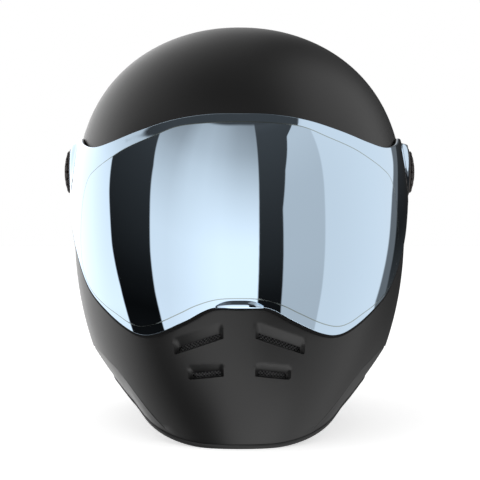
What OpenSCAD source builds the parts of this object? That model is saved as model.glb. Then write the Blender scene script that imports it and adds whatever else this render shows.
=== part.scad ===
// Full-face downhill skate helmet with a flip-up mirror visor.
// The face looks toward -Y, +Z is up, and the helmet stands on its lower edge at z = 0.
// Azimuth 0 is straight ahead and grows toward +X, which is the wearer's left.
// A depth d is measured inward from the outer face of the shell, so a negative depth is proud of it.

/* [Shell] */
// Height of the crown above the lower edge
shell_h = 280; // [274:1:290]
// Half of the width at the temples
shell_half_w = 117.5; // [114:0.5:122]
// Height at which the shell is widest
wide_z = 140; // [134:1:146]
// Half of the width that the sides aim at down at ground level
jaw_half_w = 77.5; // [74:0.5:84]
// Reach of the chin bar ahead of the ears
chin_reach = 160; // [154:1:166]
// Height of the foremost place of the chin bar
chin_z = 88; // [82:1:92]
// Reach of the chin at ground level
chin_base_reach = 139; // [134:1:144]
// Reach of the back of the shell behind the ears
back_reach = 150; // [145:1:156]
// Height of the rearmost place
back_z = 125; // [118:1:130]
// Reach of the nape at ground level
nape_reach = 112; // [108:1:118]
// Thickness of the shell
wall = 4; // [3.6:0.1:4.4]
// Height by which the lower edge rises at the sides of the neck
jaw_rise = 30; // [24:1:34]
// Height of the tucked panel above the lower edge at the jaw
tuck_h = 26; // [20:1:30]
// Inward slope of the tucked panel
tuck = 0.28; // [0.2:0.02:0.34]

/* [Visor] */
// Thickness of the visor
lens_t = 2.4; // [2:0.1:2.8]
// Space between the shell and the visor
lens_gap = 1.9; // [1.8:0.1:2.4]
// Distance from the edge of the visor to the edge of the eye port
port_margin = 8; // [7:0.5:10]
// Azimuth of the side of the eye port
port_side = 60; // [57:1:61]
// Reach of the finger tab ahead of the visor
tab_reach = 4; // [3:0.5:6]
// Half angle of the finger tab
tab_span = 5.3; // [4:0.1:6]

/* [Pivot] */
// Height of the visor pivot
pivot_z = 176.5; // [174:0.5:179]
// Distance of the visor pivot behind the polar axis
pivot_back = 2; // [0:0.5:4]
// Radius of the round ear at each end of the visor
ear_r = 19; // [18:0.5:20]
// Radius of the hub that the visor turns on
hub_r = 6; // [5:0.25:7]
// Radius of the screw that the knob is moulded on
screw_r = 2.45; // [2:0.05:3]
// Radius of the knob
knob_r = 15; // [13:0.5:15.5]
// Height of the knob
knob_h = 3.5; // [3:0.1:4.5]
// Number of finger flutes around the knob
knob_flutes = 24; // [16:2:30]

/* [Liner] */
// Thickness of the moulded foam liner
eps_t = 26; // [22:0.5:28]
// Thickness of the comfort padding
pad_t = 8; // [6:0.5:9]
// Thickness of the foam in the chin bar
chin_foam_t = 14; // [10:0.5:18]
// Thickness of the firm block behind each cheek pad
cheek_block_t = 13; // [10:0.5:15]
// Crown of each cheek pad
cheek_pad_t = 22; // [16:0.5:25]
// Height of the liner's edge over the ears
liner_ear_z = 126; // [122:1:130]
// Height of the liner's edge at the nape
liner_nape_z = 64; // [60:1:70]
// Height of the brow pad
brow_pad_h = 13; // [11:0.5:14]
// Azimuth of the ends of the brow pad
brow_pad_side = 46; // [42:1:48]

/* [Trim and vents] */
// Thickness of the rubber on the lower edge
trim_t = 1.5; // [1.2:0.1:2]
// Height of the legs of the lower rubber edging
trim_leg = 6.5; // [5.5:0.5:8]
// Width of the lip of the eye port seal on the shell
seal_lip = 4; // [3:0.5:5]
// Half height of a vent slot
slot_r = 1.8; // [1.4:0.1:2.2]
// Depth of the scoop above a vent slot
scoop_depth = 2.8; // [2:0.1:3.2]
// Thickness of the vent mesh
mesh_t = 0.8; // [0.6:0.1:1.2]

/* [Chin strap] */
// Width of the webbing
web_w = 22; // [18:1:23]
// Thickness of the webbing
web_t = 1.4; // [1.2:0.1:1.6]
// Height of the strap rivets
anchor_z = 92; // [89:1:95]
// Distance of the strap rivets behind the polar axis
anchor_back = 12; // [10:1:15]
// Length of the long strap to its fold
long_run = 62; // [56:1:66]
// Length of the folded end
fold_run = 48; // [40:1:52]
// Length of the short strap to the rings
short_run = 46; // [44:1:50]
// Radius of the wire of the D-rings
ring_wire_r = 1.6; // [1.4:0.1:1.8]
// Lean of the hanging straps toward the neck
strap_lean = 30; // [28:1:32]

/* [Hidden] */

// Facets
shell_cols = 56;
shell_rows = 15;
liner_cols = 44;
lens_cols = 40;
lens_rows = 6;
ear_cols = 4;
port_cols = 26;
round_fn = 48;

// Form of the shell
plan_power = 2.2;
crown_power = 2.75;
face_power = 1.95;
back_power = 2.35;
jaw_power = 2.25;
chin_power = 2.2;
land_front = 8;
land_back = 165;

// Clearances
edge_gap = 0.4;
seal_gap = 1.2;
liner_gap = 1;
pad_gap = 1.4;
run_gap = 0.06;
face_gap = 0.2;
seat_gap = 1.55;
mesh_gap = 0.3;
port_cut_out = 24;

// Lower and upper outlines of the visor: azimuth, height above the pivot
visor_low_line = [
    [0, -85], [6, -85.5], [12, -94], [18, -101.5], [22.5, -104], [27, -101.5],
    [36, -90], [45, -76.5], [54, -54.5], [64, -30.5], [76, -20.5], [90, -ear_r],
];
visor_top_line = [
    [0, 36], [10, 35.5], [20, 32], [30, 25.5], [40, 18.5], [48, 15.5], [58, 17.5], [71, 23], [90, ear_r],
];

// Vent slots: azimuth and height of the inner end, azimuth and height of the outer end, rise of the scoop
upper_slot = [3.8, 74.6, 14.3, 64.8, 8.5];
lower_slot = [3.8, 51, 11.3, 48.4, 6.5];

// Along the pivot axis, from the seat outward
plate_r = 20;
seat_x = side_at(pivot_z + plate_r, 0) - seat_gap;
boss_t = 4;
ear_x = shell_half_w + 0.7;
ear_out_x = ear_x + lens_t;
plate_face_x = ear_x - 0.9;
dish_x = ear_out_x + face_gap;
dish_t = 0.8;
dish_rim = 1.6;
dish_rim_w = 3;
hub_x = dish_x + dish_t + face_gap;
washer_x = hub_x + 0.1;
washer_t = 0.5;
knob_x = washer_x + washer_t + 0.1;
plate_screw_run = 12;
spigot_r = 13;
insert_flange_t = 1.5;

// Strap anchors, from the boss inward
pad_x = side_at(anchor_z, 0) - 12.1;
anchor_boss_r = 9;
anchor_t = 1.5;
rivet_r = 2.45;
rivet_head_r = 4.8;
bar_h = 2.6;
bar_z = anchor_z - 19.5;
bar_x = pad_x - edge_gap/3 - anchor_t/2;
loop_r = 1.9;
ring_loop_r = 3.9;

// The polar axis lies behind the middle of the length, so that the origin is in the middle
lens_out = lens_gap + lens_t;
tab_z = pivot_z - 81;
axis_y = (front_at(tab_z, -lens_out) + tab_reach - back_reach)/2;
pivot_y = axis_y + pivot_back;
anchor_y = axis_y + anchor_back;

function smooth(a, b, x) = let (t = min(1, max(0, (x - a)/(b - a)))) t*t*(3 - 2*t);
function mix(a, b, t) = a + (b - a)*t;
function quad(a, b, c, d) = [[a, b, c], [a, c, d]];

// Smooth curve through the points of a line, flat at both ends
function knot(line, x, i = 0) = i >= len(line) - 2 || x <= line[i + 1][0] ? i : knot(line, x, i + 1);
function slope(line, i) =
    i == 0 || i == len(line) - 1 ? 0 : (line[i + 1][1] - line[i - 1][1])/(line[i + 1][0] - line[i - 1][0]);
function curve(line, x) =
    let (
        i = knot(line, x),
        w = line[i + 1][0] - line[i][0],
        t = min(1, max(0, (x - line[i][0])/w)),
        a = line[i][1],
        b = line[i + 1][1]
    )
    mix(a, b, t*t*(3 - 2*t)) + w*t*(1 - t)*((1 - t)*slope(line, i) - t*slope(line, i + 1));

// Half width, front reach and back reach of the layer at depth d
function dome(z, low, high, p, q) = pow(1 - pow(min(1, max(0, (z - low)/(high - low))), p), 1/q);
function flare(z, level, p) = pow(max(0, level - z)/level, p);
function side_at(z, d) =
    (shell_half_w - d)*dome(z, wide_z, shell_h - d, crown_power, 2)
    - (shell_half_w - jaw_half_w)*flare(z, wide_z, jaw_power);
function front_at(z, d) =
    (chin_reach - d)*dome(z, chin_z, shell_h - d, face_power, face_power)
    - (chin_reach - chin_base_reach)*flare(z, chin_z, chin_power);
function back_at(z, d) =
    (back_reach - d)*dome(z, back_z, shell_h - d, back_power, back_power)
    - (back_reach - nape_reach)*flare(z, back_z, chin_power);

// Size of an azimuth, from 0 at the front to 180 at the back
function turn(a) = abs(a) > 180 ? 360 - abs(a) : abs(a);

// Height of the lower edge of the rubber, of the shell and of the crease above the tucked panel
function edge_z(a) =
    let (p = turn(a)) jaw_rise*(p < 90 ? smooth(land_front, 62, p) : 1 - smooth(105, land_back, p));
function shell_edge_z(a) = edge_z(a) + trim_t + edge_gap;
function crease_z(a) =
    let (p = turn(a))
    edge_z(a) + 4 + (tuck_h*smooth(16, 40, p) - 6*smooth(45, 75, p))*(1 - smooth(110, land_back, p));

// Horizontal distance from the polar axis, and the point on the layer at depth d
function reach(a, z, d) =
    let (w = side_at(z, d), l = cos(a) >= 0 ? front_at(z, d) : back_at(z, d), p = turn(a))
    pow(pow(abs(sin(a))/w, plan_power) + pow(abs(cos(a))/l, plan_power), -1/plan_power)
    - tuck*max(0, crease_z(a) - z)*smooth(14, 40, p)*(1 - smooth(110, land_back, p));
function at(a, z, d) = let (r = reach(a, z, d)) [r*sin(a), axis_y - r*cos(a), z];

// Outline of the eye port, counter-clockwise as seen from the front
function visor_low(a) = pivot_z + curve(visor_low_line, abs(a));
function visor_top(a) = pivot_z + curve(visor_top_line, abs(a));
function port_fullness(a) = pow(max(0, 1 - pow(abs(a)/port_side, 8)), 1/8);
function port_mid(a) = (visor_low(a) + visor_top(a))/2;
function port_low(a) = mix(port_mid(a), visor_low(a) + port_margin, port_fullness(a));
function port_high(a) = mix(port_mid(a), visor_top(a) - port_margin, port_fullness(a));
function port_azimuth(i) = -port_side*cos(180*i/port_cols);
port_line = concat(
    [for (i = [0:port_cols]) let (a = port_azimuth(i)) [a, port_low(a)]],
    [for (i = [port_cols - 1:-1:1]) let (a = port_azimuth(i)) [a, port_high(a)]]
);

// Point of the port outline moved outward by w along the shell, at depth d
function port_point(i, w, d) =
    let (
        n = len(port_line),
        p = port_line[i],
        before = port_line[(i + n - 1)%n],
        after = port_line[(i + 1)%n],
        degree = reach(p.x, p.y, 0)*PI/180,
        along = [(after.x - before.x)*degree, after.y - before.y],
        out = [along.y, -along.x]/norm(along)
    )
    at(p.x + w*out.x/degree, p.y + w*out.y, d);

// Height of the foam liner's edge above the brow, at a distance ahead of the polar axis
brow_reach = front_at(pivot_z + visor_top_line[0][1], 0);
function brow_z(ahead) = mix(
    pivot_z + visor_top_line[5][1], pivot_z + visor_top_line[0][1], smooth(0.625, 1.04, ahead/brow_reach)
) - port_margin + seal_lip + 4;

// Stack of rings from a lower edge to the crown, and the crown point
function rings(cols, rows, edge, depth) =
    [for (j = [0:rows - 1])
        [for (i = [0:cols - 1])
            let (
                a = -180 + 360*i/cols,
                d = depth(a, j/rows),
                z = mix(edge(a), shell_h - d, sin(90*pow(j/rows, 1.2)))
            )
            at(a, z, d)]];
function crown(d) = [0, axis_y, shell_h - d];

// Grid of points between two heights; u and v run from -1 to 1 across the panel
function grid(a0, a1, cols, rows, low, high, depth) =
    [for (i = [0:cols])
        let (u = -cos(180*i/cols), a = mix(a0, a1, (1 + u)/2))
        [for (j = [0:rows])
            let (v = -cos(180*j/rows))
            at(a, mix(low(a), high(a), (1 + v)/2), depth(u, v))]];

// Closed wall between an outer and an inner stack of rings
module cap(outer, inner, outer_crown, inner_crown) {
    n = len(outer[0]);
    mo = len(outer);
    mi = len(inner);
    o = mo*n;
    top = o + mi*n;
    polyhedron(
        points = concat([for (r = outer) each r], [for (r = inner) each r], [outer_crown, inner_crown]),
        faces = concat(
            [for (j = [0:mo - 2], i = [0:n - 1]) let (k = (i + 1)%n)
                each quad(j*n + i, (j + 1)*n + i, (j + 1)*n + k, j*n + k)],
            [for (j = [0:mi - 2], i = [0:n - 1]) let (k = (i + 1)%n)
                each quad(o + j*n + i, o + j*n + k, o + (j + 1)*n + k, o + (j + 1)*n + i)],
            [for (i = [0:n - 1]) let (k = (i + 1)%n) each quad(i, k, o + k, o + i)],
            [for (i = [0:n - 1]) let (k = (i + 1)%n) [(mo - 1)*n + i, top, (mo - 1)*n + k]],
            [for (i = [0:n - 1]) let (k = (i + 1)%n) [o + (mi - 1)*n + k, top + 1, o + (mi - 1)*n + i]]
        ),
        convexity = 8
    );
}

// Closed panel between an outer and an inner grid of the same size
module panel(outer, inner) {
    n = len(outer) - 1;
    m = len(outer[0]) - 1;
    row = m + 1;
    o = (n + 1)*row;
    polyhedron(
        points = concat([for (c = outer) each c], [for (c = inner) each c]),
        faces = concat(
            [for (i = [0:n - 1], j = [0:m - 1])
                each quad(i*row + j, i*row + j + 1, (i + 1)*row + j + 1, (i + 1)*row + j)],
            [for (i = [0:n - 1], j = [0:m - 1])
                each quad(o + i*row + j, o + (i + 1)*row + j, o + (i + 1)*row + j + 1, o + i*row + j + 1)],
            [for (i = [0:n - 1]) each quad(i*row, (i + 1)*row, o + (i + 1)*row, o + i*row)],
            [for (i = [0:n - 1]) each quad(i*row + m, o + i*row + m, o + (i + 1)*row + m, (i + 1)*row + m)],
            [for (j = [0:m - 1]) each quad(j, o + j, o + j + 1, j + 1)],
            [for (j = [0:m - 1]) each quad(n*row + j, n*row + j + 1, o + n*row + j + 1, o + n*row + j)]
        ),
        convexity = 8
    );
}

// Ring swept through closed sections, one after another around a closed line
module ring(sections) {
    n = len(sections);
    m = len(sections[0]);
    polyhedron(
        points = [for (s = sections) each s],
        faces = [for (i = [0:n - 1], j = [0:m - 1]) let (k = (i + 1)%n, l = (j + 1)%m)
            each quad(i*m + j, k*m + j, k*m + l, i*m + l)],
        convexity = 8
    );
}

// Places children with their +Z along the pivot axis, outward, at distance x from the middle
module on_pivot(side, x) {
    translate([side*x, pivot_y, pivot_z]) rotate([0, side*90, 0]) children();
}

module on_anchor(side, x) {
    translate([side*x, anchor_y, anchor_z]) rotate([0, side*90, 0]) children();
}

module both() {
    children();
    mirror([1, 0, 0]) children();
}

module at_side(side) {
    if (side > 0) children();
    else mirror([1, 0, 0]) children();
}

// Point on the line that runs straight through the wall at a place on the shell
function through_wall(p, d) = let (o = at(p.x, p.y, 0)) o + (at(p.x, p.y, wall) - o)*d/wall;

// Prism through the wall along the port outline
module port_cut() {
    n = port_cols;
    m = len(port_line);
    polyhedron(
        points = concat(
            [for (p = port_line) through_wall(p, -port_cut_out)],
            [for (p = port_line) through_wall(p, 30)]
        ),
        faces = concat(
            [for (i = [0:m - 1]) let (k = (i + 1)%m) each quad(i, k, m + k, m + i)],
            [[0, m - 1, 1], [m, m + 1, m + m - 1]],
            [for (i = [1:n - 2]) each quad(i, m - i, m - i - 1, i + 1)],
            [for (i = [1:n - 2]) each quad(m + i, m + i + 1, m + m - i - 1, m + m - i)],
            [[n - 1, n + 1, n], [m + n - 1, m + n, m + n + 1]]
        ),
        convexity = 4
    );
}

module speck(a, z, d) {
    translate(at(a, z, d)) cube(0.3, center = true);
}

module slot_rod(a, z, r) {
    translate(at(a, z, 10)) rotate([90, 0, 0]) cylinder(h = 50, r = r, center = true, $fn = 12);
}

// One vent: a slot through the wall, under a scoop that deepens toward its sharp lower lip
module vent(slot) {
    hull() {
        slot_rod(slot[0] + 0.7, slot[1], slot_r);
        slot_rod(slot[2] - 0.7, slot[3], slot_r);
    }
    hull() {
        speck(slot[0] - 0.6, slot[1] + slot[4], -0.5);
        speck(slot[2] + 1, slot[3] + slot[4], -0.5);
        for (end = [[slot[0] - 0.3, slot[1]], [slot[2] + 0.3, slot[3]]]) {
            speck(end.x, end.y + slot_r, scoop_depth);
            speck(end.x, end.y - slot_r, scoop_depth);
            speck(end.x, end.y - slot_r, -2);
        }
    }
}

module pivot_pocket() {
    on_pivot(1, seat_x) cylinder(h = 20, r = plate_r + 0.6, $fn = 40);
    on_pivot(1, seat_x - 12) cylinder(h = 20, r = 4.4, $fn = 16);
    for (side = [-1, 1])
        translate([seat_x - 8, pivot_y + side*plate_screw_run, pivot_z]) rotate([0, 90, 0]) cylinder(h = 12, r = 1.5, $fn = 10);
}

module anchor_pocket() {
    on_anchor(1, pad_x + 10.1) cylinder(h = 12, r = rivet_head_r + 0.4, $fn = 20);
    on_anchor(1, pad_x - 2) cylinder(h = 20, r = rivet_r + 0.3, $fn = 12);
}

// Shell with its eye port, vents and the bosses for the pivots and the strap anchors
module outer_shell() color("#1d1d1f") {
    crease_rows = 2;
    inner_rows = 14;
    low_outer = [for (j = [0:crease_rows - 1]) [for (i = [0:shell_cols - 1])
        let (a = -180 + 360*i/shell_cols) at(a, mix(shell_edge_z(a), crease_z(a) + 2, j/crease_rows), 0)]];
    low_inner = [for (j = [0:1]) [for (i = [0:shell_cols - 1])
        let (a = -180 + 360*i/shell_cols) at(a, mix(shell_edge_z(a), crease_z(a) + 2, j/2), wall)]];
    lift = function (a) crease_z(a) + 2;
    difference() {
        union() {
            cap(
                concat(low_outer, rings(shell_cols, shell_rows, lift, function (a, s) 0)),
                concat(low_inner, rings(shell_cols, inner_rows, lift, function (a, s) wall)),
                crown(0), crown(wall)
            );
            both() on_pivot(1, seat_x - boss_t) cylinder(h = boss_t, r = plate_r + 2, $fn = 32);
            both() on_anchor(1, pad_x) cylinder(h = 9.2, r = anchor_boss_r, $fn = 20);
        }
        port_cut();
        both() {
            pivot_pocket();
            anchor_pocket();
            vent(upper_slot);
            vent(lower_slot);
        }
    }
}

// Rubber seal that grips the edge of the eye port under the visor
module port_seal() color("#101011") {
    out_d = -lens_gap + 0.7;
    in_d = wall + seal_gap;
    web_w0 = -edge_gap - 0.5;
    web_w1 = web_w0 - 1.2;
    section = [
        [web_w0, -edge_gap], [web_w0, in_d], [seal_lip, in_d], [seal_lip, in_d + 1.2], [web_w1, in_d + 1.2],
        [web_w1, out_d], [seal_lip - 1, out_d], [seal_lip, out_d + 0.2], [seal_lip, -edge_gap],
    ];
    ring([for (i = [0:len(port_line) - 1]) [for (s = section) port_point(i, s.x, s.y)]]);
}

// Rubber edging along the lower edge, flat on the ground under the chin and the nape
module edge_trim() color("#141415") {
    section = [
        [0, -1.6], [0, wall + 1.8], [trim_leg, wall + 1.7], [trim_leg, wall + 0.6],
        [trim_t, wall + 0.6], [trim_t, -edge_gap], [trim_leg, -edge_gap], [trim_leg, -1.4],
    ];
    ring([for (i = [0:shell_cols - 1]) let (a = -180 + 360*i/shell_cols)
        [for (s = section) at(a, edge_z(a) + s.x, s.y)]]);
}

// Point of the visor, which goes flat toward the ears
function lens_point(a, z, out) =
    let (p = at(a, z, -out), w = smooth(62, 84, abs(a)), flat = ear_x + out - lens_gap)
    [sign(a)*mix(abs(p.x), flat, w), p.y, z];
function lens_column(a, out) =
    [for (j = [0:lens_rows]) lens_point(a, mix(visor_low(a), visor_top(a), j/lens_rows), out)];
function ear_column(side, t, out) =
    [for (j = [0:lens_rows])
        [side*(ear_x + out - lens_gap), pivot_y + ear_r*sin(t), pivot_z + ear_r*cos(t)*(2*j/lens_rows - 1)]];
function lens_grid(out) = concat(
    [for (k = [ear_cols:-1:0]) ear_column(-1, 84*k/ear_cols, out)],
    [for (i = [0:lens_cols]) lens_column(-90 + 180*i/lens_cols, out)],
    [for (k = [0:ear_cols]) ear_column(1, 84*k/ear_cols, out)]
);

// Section of the finger tab at s, from -1 at one end to 1 at the other
module tab_section(s) {
    rise = 4*(1 - s*s);
    speck(tab_span*s, visor_low(0) + 1.5 + rise, -lens_out + 0.6);
    speck(tab_span*s, visor_low(0) + 3 + rise, -lens_out + 0.6);
    for (z = [1.2, 2])
        speck(tab_span*s, visor_low(0) + z + rise, -lens_out + 0.5 - tab_reach*sqrt(1 - s*s));
}

// Mirror visor in one piece with its flat round ears and its finger tab
module visor_lens() color("#9fb6cf") {
    tab_steps = 10;
    difference() {
        union() {
            panel(lens_grid(lens_out), lens_grid(lens_gap));
            for (i = [0:tab_steps - 1])
                hull() {
                    tab_section(-1 + 2*i/tab_steps);
                    tab_section(-1 + 2*(i + 1)/tab_steps);
                }
        }
        both() on_pivot(1, ear_x - 5) cylinder(h = 12, r = spigot_r + edge_gap, $fn = round_fn);
    }
}

// Bushing in the ear of the visor: a spigot through the ear under a dish with a raised rim
module visor_bushing(side) color("#2a2c30") {
    difference() {
        union() {
            on_pivot(side, ear_x - 0.6) cylinder(h = dish_x - ear_x + 1, r = spigot_r, $fn = round_fn);
            on_pivot(side, dish_x) cylinder(h = dish_t + dish_rim, r = ear_r + 0.5, $fn = round_fn);
        }
        on_pivot(side, dish_x + dish_t) cylinder(h = 4, r = ear_r + 0.5 - dish_rim_w, $fn = round_fn);
        on_pivot(side, ear_x - 3) cylinder(h = 12, r = hub_r + run_gap, $fn = round_fn);
    }
}

// Base plate with the hub that the visor turns on, held by two countersunk screws
module pivot_plate(side) color("#232426") {
    difference() {
        union() {
            on_pivot(side, seat_x) cylinder(h = plate_face_x - seat_x, r = plate_r, $fn = round_fn);
            on_pivot(side, seat_x) cylinder(h = hub_x - seat_x, r = hub_r, $fn = round_fn);
        }
        on_pivot(side, seat_x - 1) cylinder(h = 20, r = screw_r + 0.15, $fn = round_fn);
        for (k = [-1, 1])
            on_pivot(side, seat_x) translate([0, k*plate_screw_run, 0]) {
                translate([0, 0, -1]) cylinder(h = 12, r = 1.6, $fn = 24);
                translate([0, 0, plate_face_x - seat_x - 1.6]) cylinder(h = 1.8, r1 = 1.6, r2 = 3.4, $fn = 24);
            }
    }
}

module plate_screws() color("#8d9095") {
    for (side = [-1, 1], k = [-1, 1])
        on_pivot(side, plate_face_x) translate([0, k*plate_screw_run, 0]) {
            translate([0, 0, -1.6]) cylinder(h = 1.5, r1 = 1.4, r2 = 3.1, $fn = 24);
            translate([0, 0, seat_x - boss_t - plate_face_x]) cylinder(h = plate_face_x - seat_x + boss_t - 1.6, r = 1.3, $fn = 24);
        }
}

// Threaded insert, pressed in from inside the shell
module pivot_insert(side) color("#b08d4c") {
    back = seat_x - boss_t - 0.1 - insert_flange_t;
    difference() {
        union() {
            on_pivot(side, back) cylinder(h = insert_flange_t, r = 8, $fn = round_fn);
            on_pivot(side, back) cylinder(h = seat_x - 0.1 - back, r = 4, $fn = round_fn);
        }
        on_pivot(side, back - 1) cylinder(h = 12, r = screw_r + run_gap, $fn = round_fn);
    }
}

// Thumb screw: a fluted, stepped head on its screw
module knob(side) color("#2b2522") {
    difference() {
        union() {
            on_pivot(side, knob_x) cylinder(h = knob_h*0.5, r = knob_r, $fn = round_fn);
            on_pivot(side, knob_x) cylinder(h = knob_h*0.8, r = knob_r*0.76, $fn = round_fn);
            on_pivot(side, knob_x) cylinder(h = knob_h, r = knob_r*0.5, $fn = round_fn);
        }
        for (i = [0:knob_flutes - 1])
            on_pivot(side, knob_x - 1) rotate([0, 0, i*360/knob_flutes]) translate([knob_r + 0.5, 0, 0])
                cylinder(h = knob_h, r = 1.3, $fn = 16);
        on_pivot(side, knob_x + knob_h - 0.9) translate([-knob_r*0.34, -0.9, 0]) cube([knob_r*0.68, 1.8, 2]);
    }
    on_pivot(side, seat_x - boss_t) cylinder(h = knob_x - seat_x + boss_t + 0.5, r = screw_r, $fn = round_fn);
}

module knob_washer(side) color("#c9ccd1") {
    on_pivot(side, washer_x) difference() {
        cylinder(h = washer_t, r = 7.5, $fn = round_fn);
        translate([0, 0, -1]) cylinder(h = 3, r = screw_r + 0.15, $fn = round_fn);
    }
}

// Side profile of the liner's lower edge: under the brow, over the ears and down to the nape
module liner_profile_cut() {
    brow_back = axis_y - 44;
    profile = concat(
        [[axis_y - chin_reach - 10, 0], [axis_y - chin_reach - 10, brow_z(chin_reach)]],
        [for (share = [1.04, 0.94, 0.83, 0.725, 0.625, 0.42])
            [axis_y - share*brow_reach, brow_z(share*brow_reach)]],
        [[brow_back, brow_z(0) - 6], [brow_back, liner_ear_z + 6], [brow_back + 5, liner_ear_z]],
        [[axis_y + 42, liner_ear_z], [axis_y + 62, liner_ear_z - 18], [axis_y + 74, 0]]
    );
    rotate([90, 0, 90]) linear_extrude(2*shell_half_w, center = true) polygon(profile);
}

// Air channel pressed into the inside of the liner, along a line of azimuth and height
module channel(line) {
    for (i = [0:len(line) - 2])
        hull() {
            translate(at(line[i][0], line[i][1], wall + liner_gap + eps_t)) sphere(r = 4.5, $fn = 8);
            translate(at(line[i + 1][0], line[i + 1][1], wall + liner_gap + eps_t)) sphere(r = 4.5, $fn = 8);
        }
}

// Moulded foam liner from the brow over the crown to the nape
module eps_liner() color("#3a3b3d") {
    outer_d = wall + liner_gap;
    inner_d = outer_d + eps_t;
    crown_z = shell_h - inner_d;
    difference() {
        cap(
            rings(liner_cols, 12, function (a) liner_nape_z, function (a, s) outer_d),
            rings(liner_cols, 10, function (a) liner_nape_z, function (a, s) inner_d),
            crown(outer_d), crown(inner_d)
        );
        liner_profile_cut();
        channel([
            [0, crown_z - 37], [0, crown_z - 17], [0, crown_z - 2],
            [180, crown_z - 6], [180, crown_z - 29], [180, crown_z - 69],
        ]);
        both() channel([
            [28, crown_z - 39], [34, crown_z - 19], [60, crown_z - 8],
            [130, crown_z - 14], [150, crown_z - 44], [152, crown_z - 79],
        ]);
        both() on_pivot(1, seat_x - boss_t - insert_flange_t - 0.6) cylinder(h = 14, r = plate_r + 2.8, $fn = 32);
    }
}

// Foam in the chin bar, with an air way behind each vent
module chin_liner() color("#3a3b3d") {
    outer_d = wall + liner_gap;
    side = 50;
    low = function (a) edge_z(a) + trim_leg + 5;
    high = function (a) port_low(a) - seal_lip - 2;
    difference() {
        panel(
            grid(-side, side, 22, 5, low, high, function (u, v) outer_d),
            grid(-side, side, 22, 5, low, high, function (u, v) outer_d + chin_foam_t)
        );
        both() {
            for (slot = [upper_slot, lower_slot]) {
                hull() {
                    slot_rod(slot[0] + 0.7, slot[1], slot_r + 1.5);
                    slot_rod(slot[2] - 0.7, slot[3], slot_r + 1.5);
                }
                hull() {
                    for (end = [[slot[0] - 1.5, slot[1]], [slot[2] + 1.5, slot[3]]], k = [-1, 1]) {
                        speck(end.x, end.y + k*(slot_r + 4.5), 0);
                        speck(end.x, end.y + k*(slot_r + 4.5), outer_d + mesh_gap + mesh_t + 1.2);
                    }
                }
            }
        }
    }
}

// Mesh behind one vent slot
module vent_mesh(side, slot) color("#19191a") {
    back_d = wall + liner_gap + mesh_gap + mesh_t;
    low = function (a) mix(slot[1], slot[3], (a - slot[0])/(slot[2] - slot[0])) - slot_r - 3.2;
    high = function (a) low(a) + 2*slot_r + 6.4;
    at_side(side) panel(
        grid(slot[0] - 0.9, slot[2] + 0.9, 6, 2, low, high, function (u, v) back_d - mesh_t),
        grid(slot[0] - 0.9, slot[2] + 0.9, 6, 2, low, high, function (u, v) back_d)
    );
}

// Fullness of a cushion: drawn in at the seams and round toward them
function fullness(u, v) = sqrt((1 - pow(abs(u), 4))*(1 - pow(abs(v), 4)));

// Grid over the cheek, shared by the foam block and the pad so that they meet
function cheek_grid(depth) =
    grid(53, 84, 9, 7, function (a) edge_z(a) + trim_leg + 6, function (a) liner_ear_z - 11, depth);

// Firm foam block that carries a cheek pad
module cheek_block(side) color("#3a3b3d") {
    outer_d = wall + liner_gap;
    at_side(side) panel(
        cheek_grid(function (u, v) outer_d),
        cheek_grid(function (u, v) outer_d + cheek_block_t)
    );
}

module cheek_pad(side) color("#1f2022") {
    back_d = wall + liner_gap + cheek_block_t + edge_gap;
    at_side(side) panel(
        cheek_grid(function (u, v) back_d),
        cheek_grid(function (u, v) back_d + 4 + (cheek_pad_t - 4)*fullness(u, v))
    );
}

// Crown lining, quilted into lobes by sewn channels that run to the crown
module crown_pad() color("#232426") {
    back_d = wall + liner_gap + eps_t + pad_gap;
    lower = function (a) max(
        brow_pad_high(abs(a)) + pad_gap + 1 - 2*max(0, abs(a) - brow_pad_side),
        mix(shell_h - 64, shell_h - 108, smooth(24, 80, abs(a)))
    );
    lobe = function (a, s) 1 - 0.55*pow(abs(cos(4*a + 180)), 14)*(1 - s);
    cap(
        rings(liner_cols, 6, lower, function (a, s) back_d),
        rings(liner_cols, 7, lower, function (a, s) back_d + 2 + (pad_t - 2)*lobe(a, s)*smooth(-0.08, 0.2, s)),
        crown(back_d), crown(back_d + pad_t)
    );
}

// Lower and upper edge of the brow pad
function brow_pad_low(a) =
    brow_z(front_at(brow_z(0.75*brow_reach), wall + liner_gap + eps_t + pad_gap)*cos(a)) + 2;
function brow_pad_high(a) = brow_pad_low(a) + brow_pad_h*(1 - 0.6*pow(a/brow_pad_side, 2));

module brow_pad() color("#232426") {
    back_d = wall + liner_gap + eps_t + pad_gap;
    low = function (a) brow_pad_low(a);
    high = function (a) brow_pad_high(a);
    side = brow_pad_side;
    panel(
        grid(-side, side, 20, 4, low, high, function (u, v) back_d),
        grid(-side, side, 20, 4, low, high, function (u, v) back_d + 2 + (pad_t - 2)*fullness(u, v))
    );
}

module neck_roll() color("#232426") {
    back_d = wall + liner_gap;
    low = function (a) edge_z(a) + trim_leg + 4;
    high = function (a) liner_nape_z - 3;
    panel(
        grid(132, 228, 18, 6, low, high, function (u, v) back_d),
        grid(132, 228, 18, 6, low, high, function (u, v) back_d + 5 + 19*fullness(u, v))
    );
}

// Steel plate riveted to the boss, with a slot for the webbing
module anchor_plate(side) color("#8d9095") {
    half = web_w/2 + 3.6;
    slot_h = 6.5;
    at_side(side) on_anchor(1, pad_x - edge_gap/3 - anchor_t) linear_extrude(anchor_t) difference() {
        union() {
            circle(r = anchor_boss_r, $fn = round_fn);
            translate([0, -half, 0]) square([anchor_z - bar_z + bar_h/2, 2*half]);
        }
        circle(r = rivet_r + run_gap, $fn = round_fn);
        translate([anchor_z - bar_z - bar_h/2 - slot_h, -web_w/2 - 0.8]) square([slot_h, web_w + 1.6]);
        for (k = [-1, 1])
            translate([-1, k*(half + 1)]) circle(r = half - 5, $fn = round_fn);
    }
}

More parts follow.
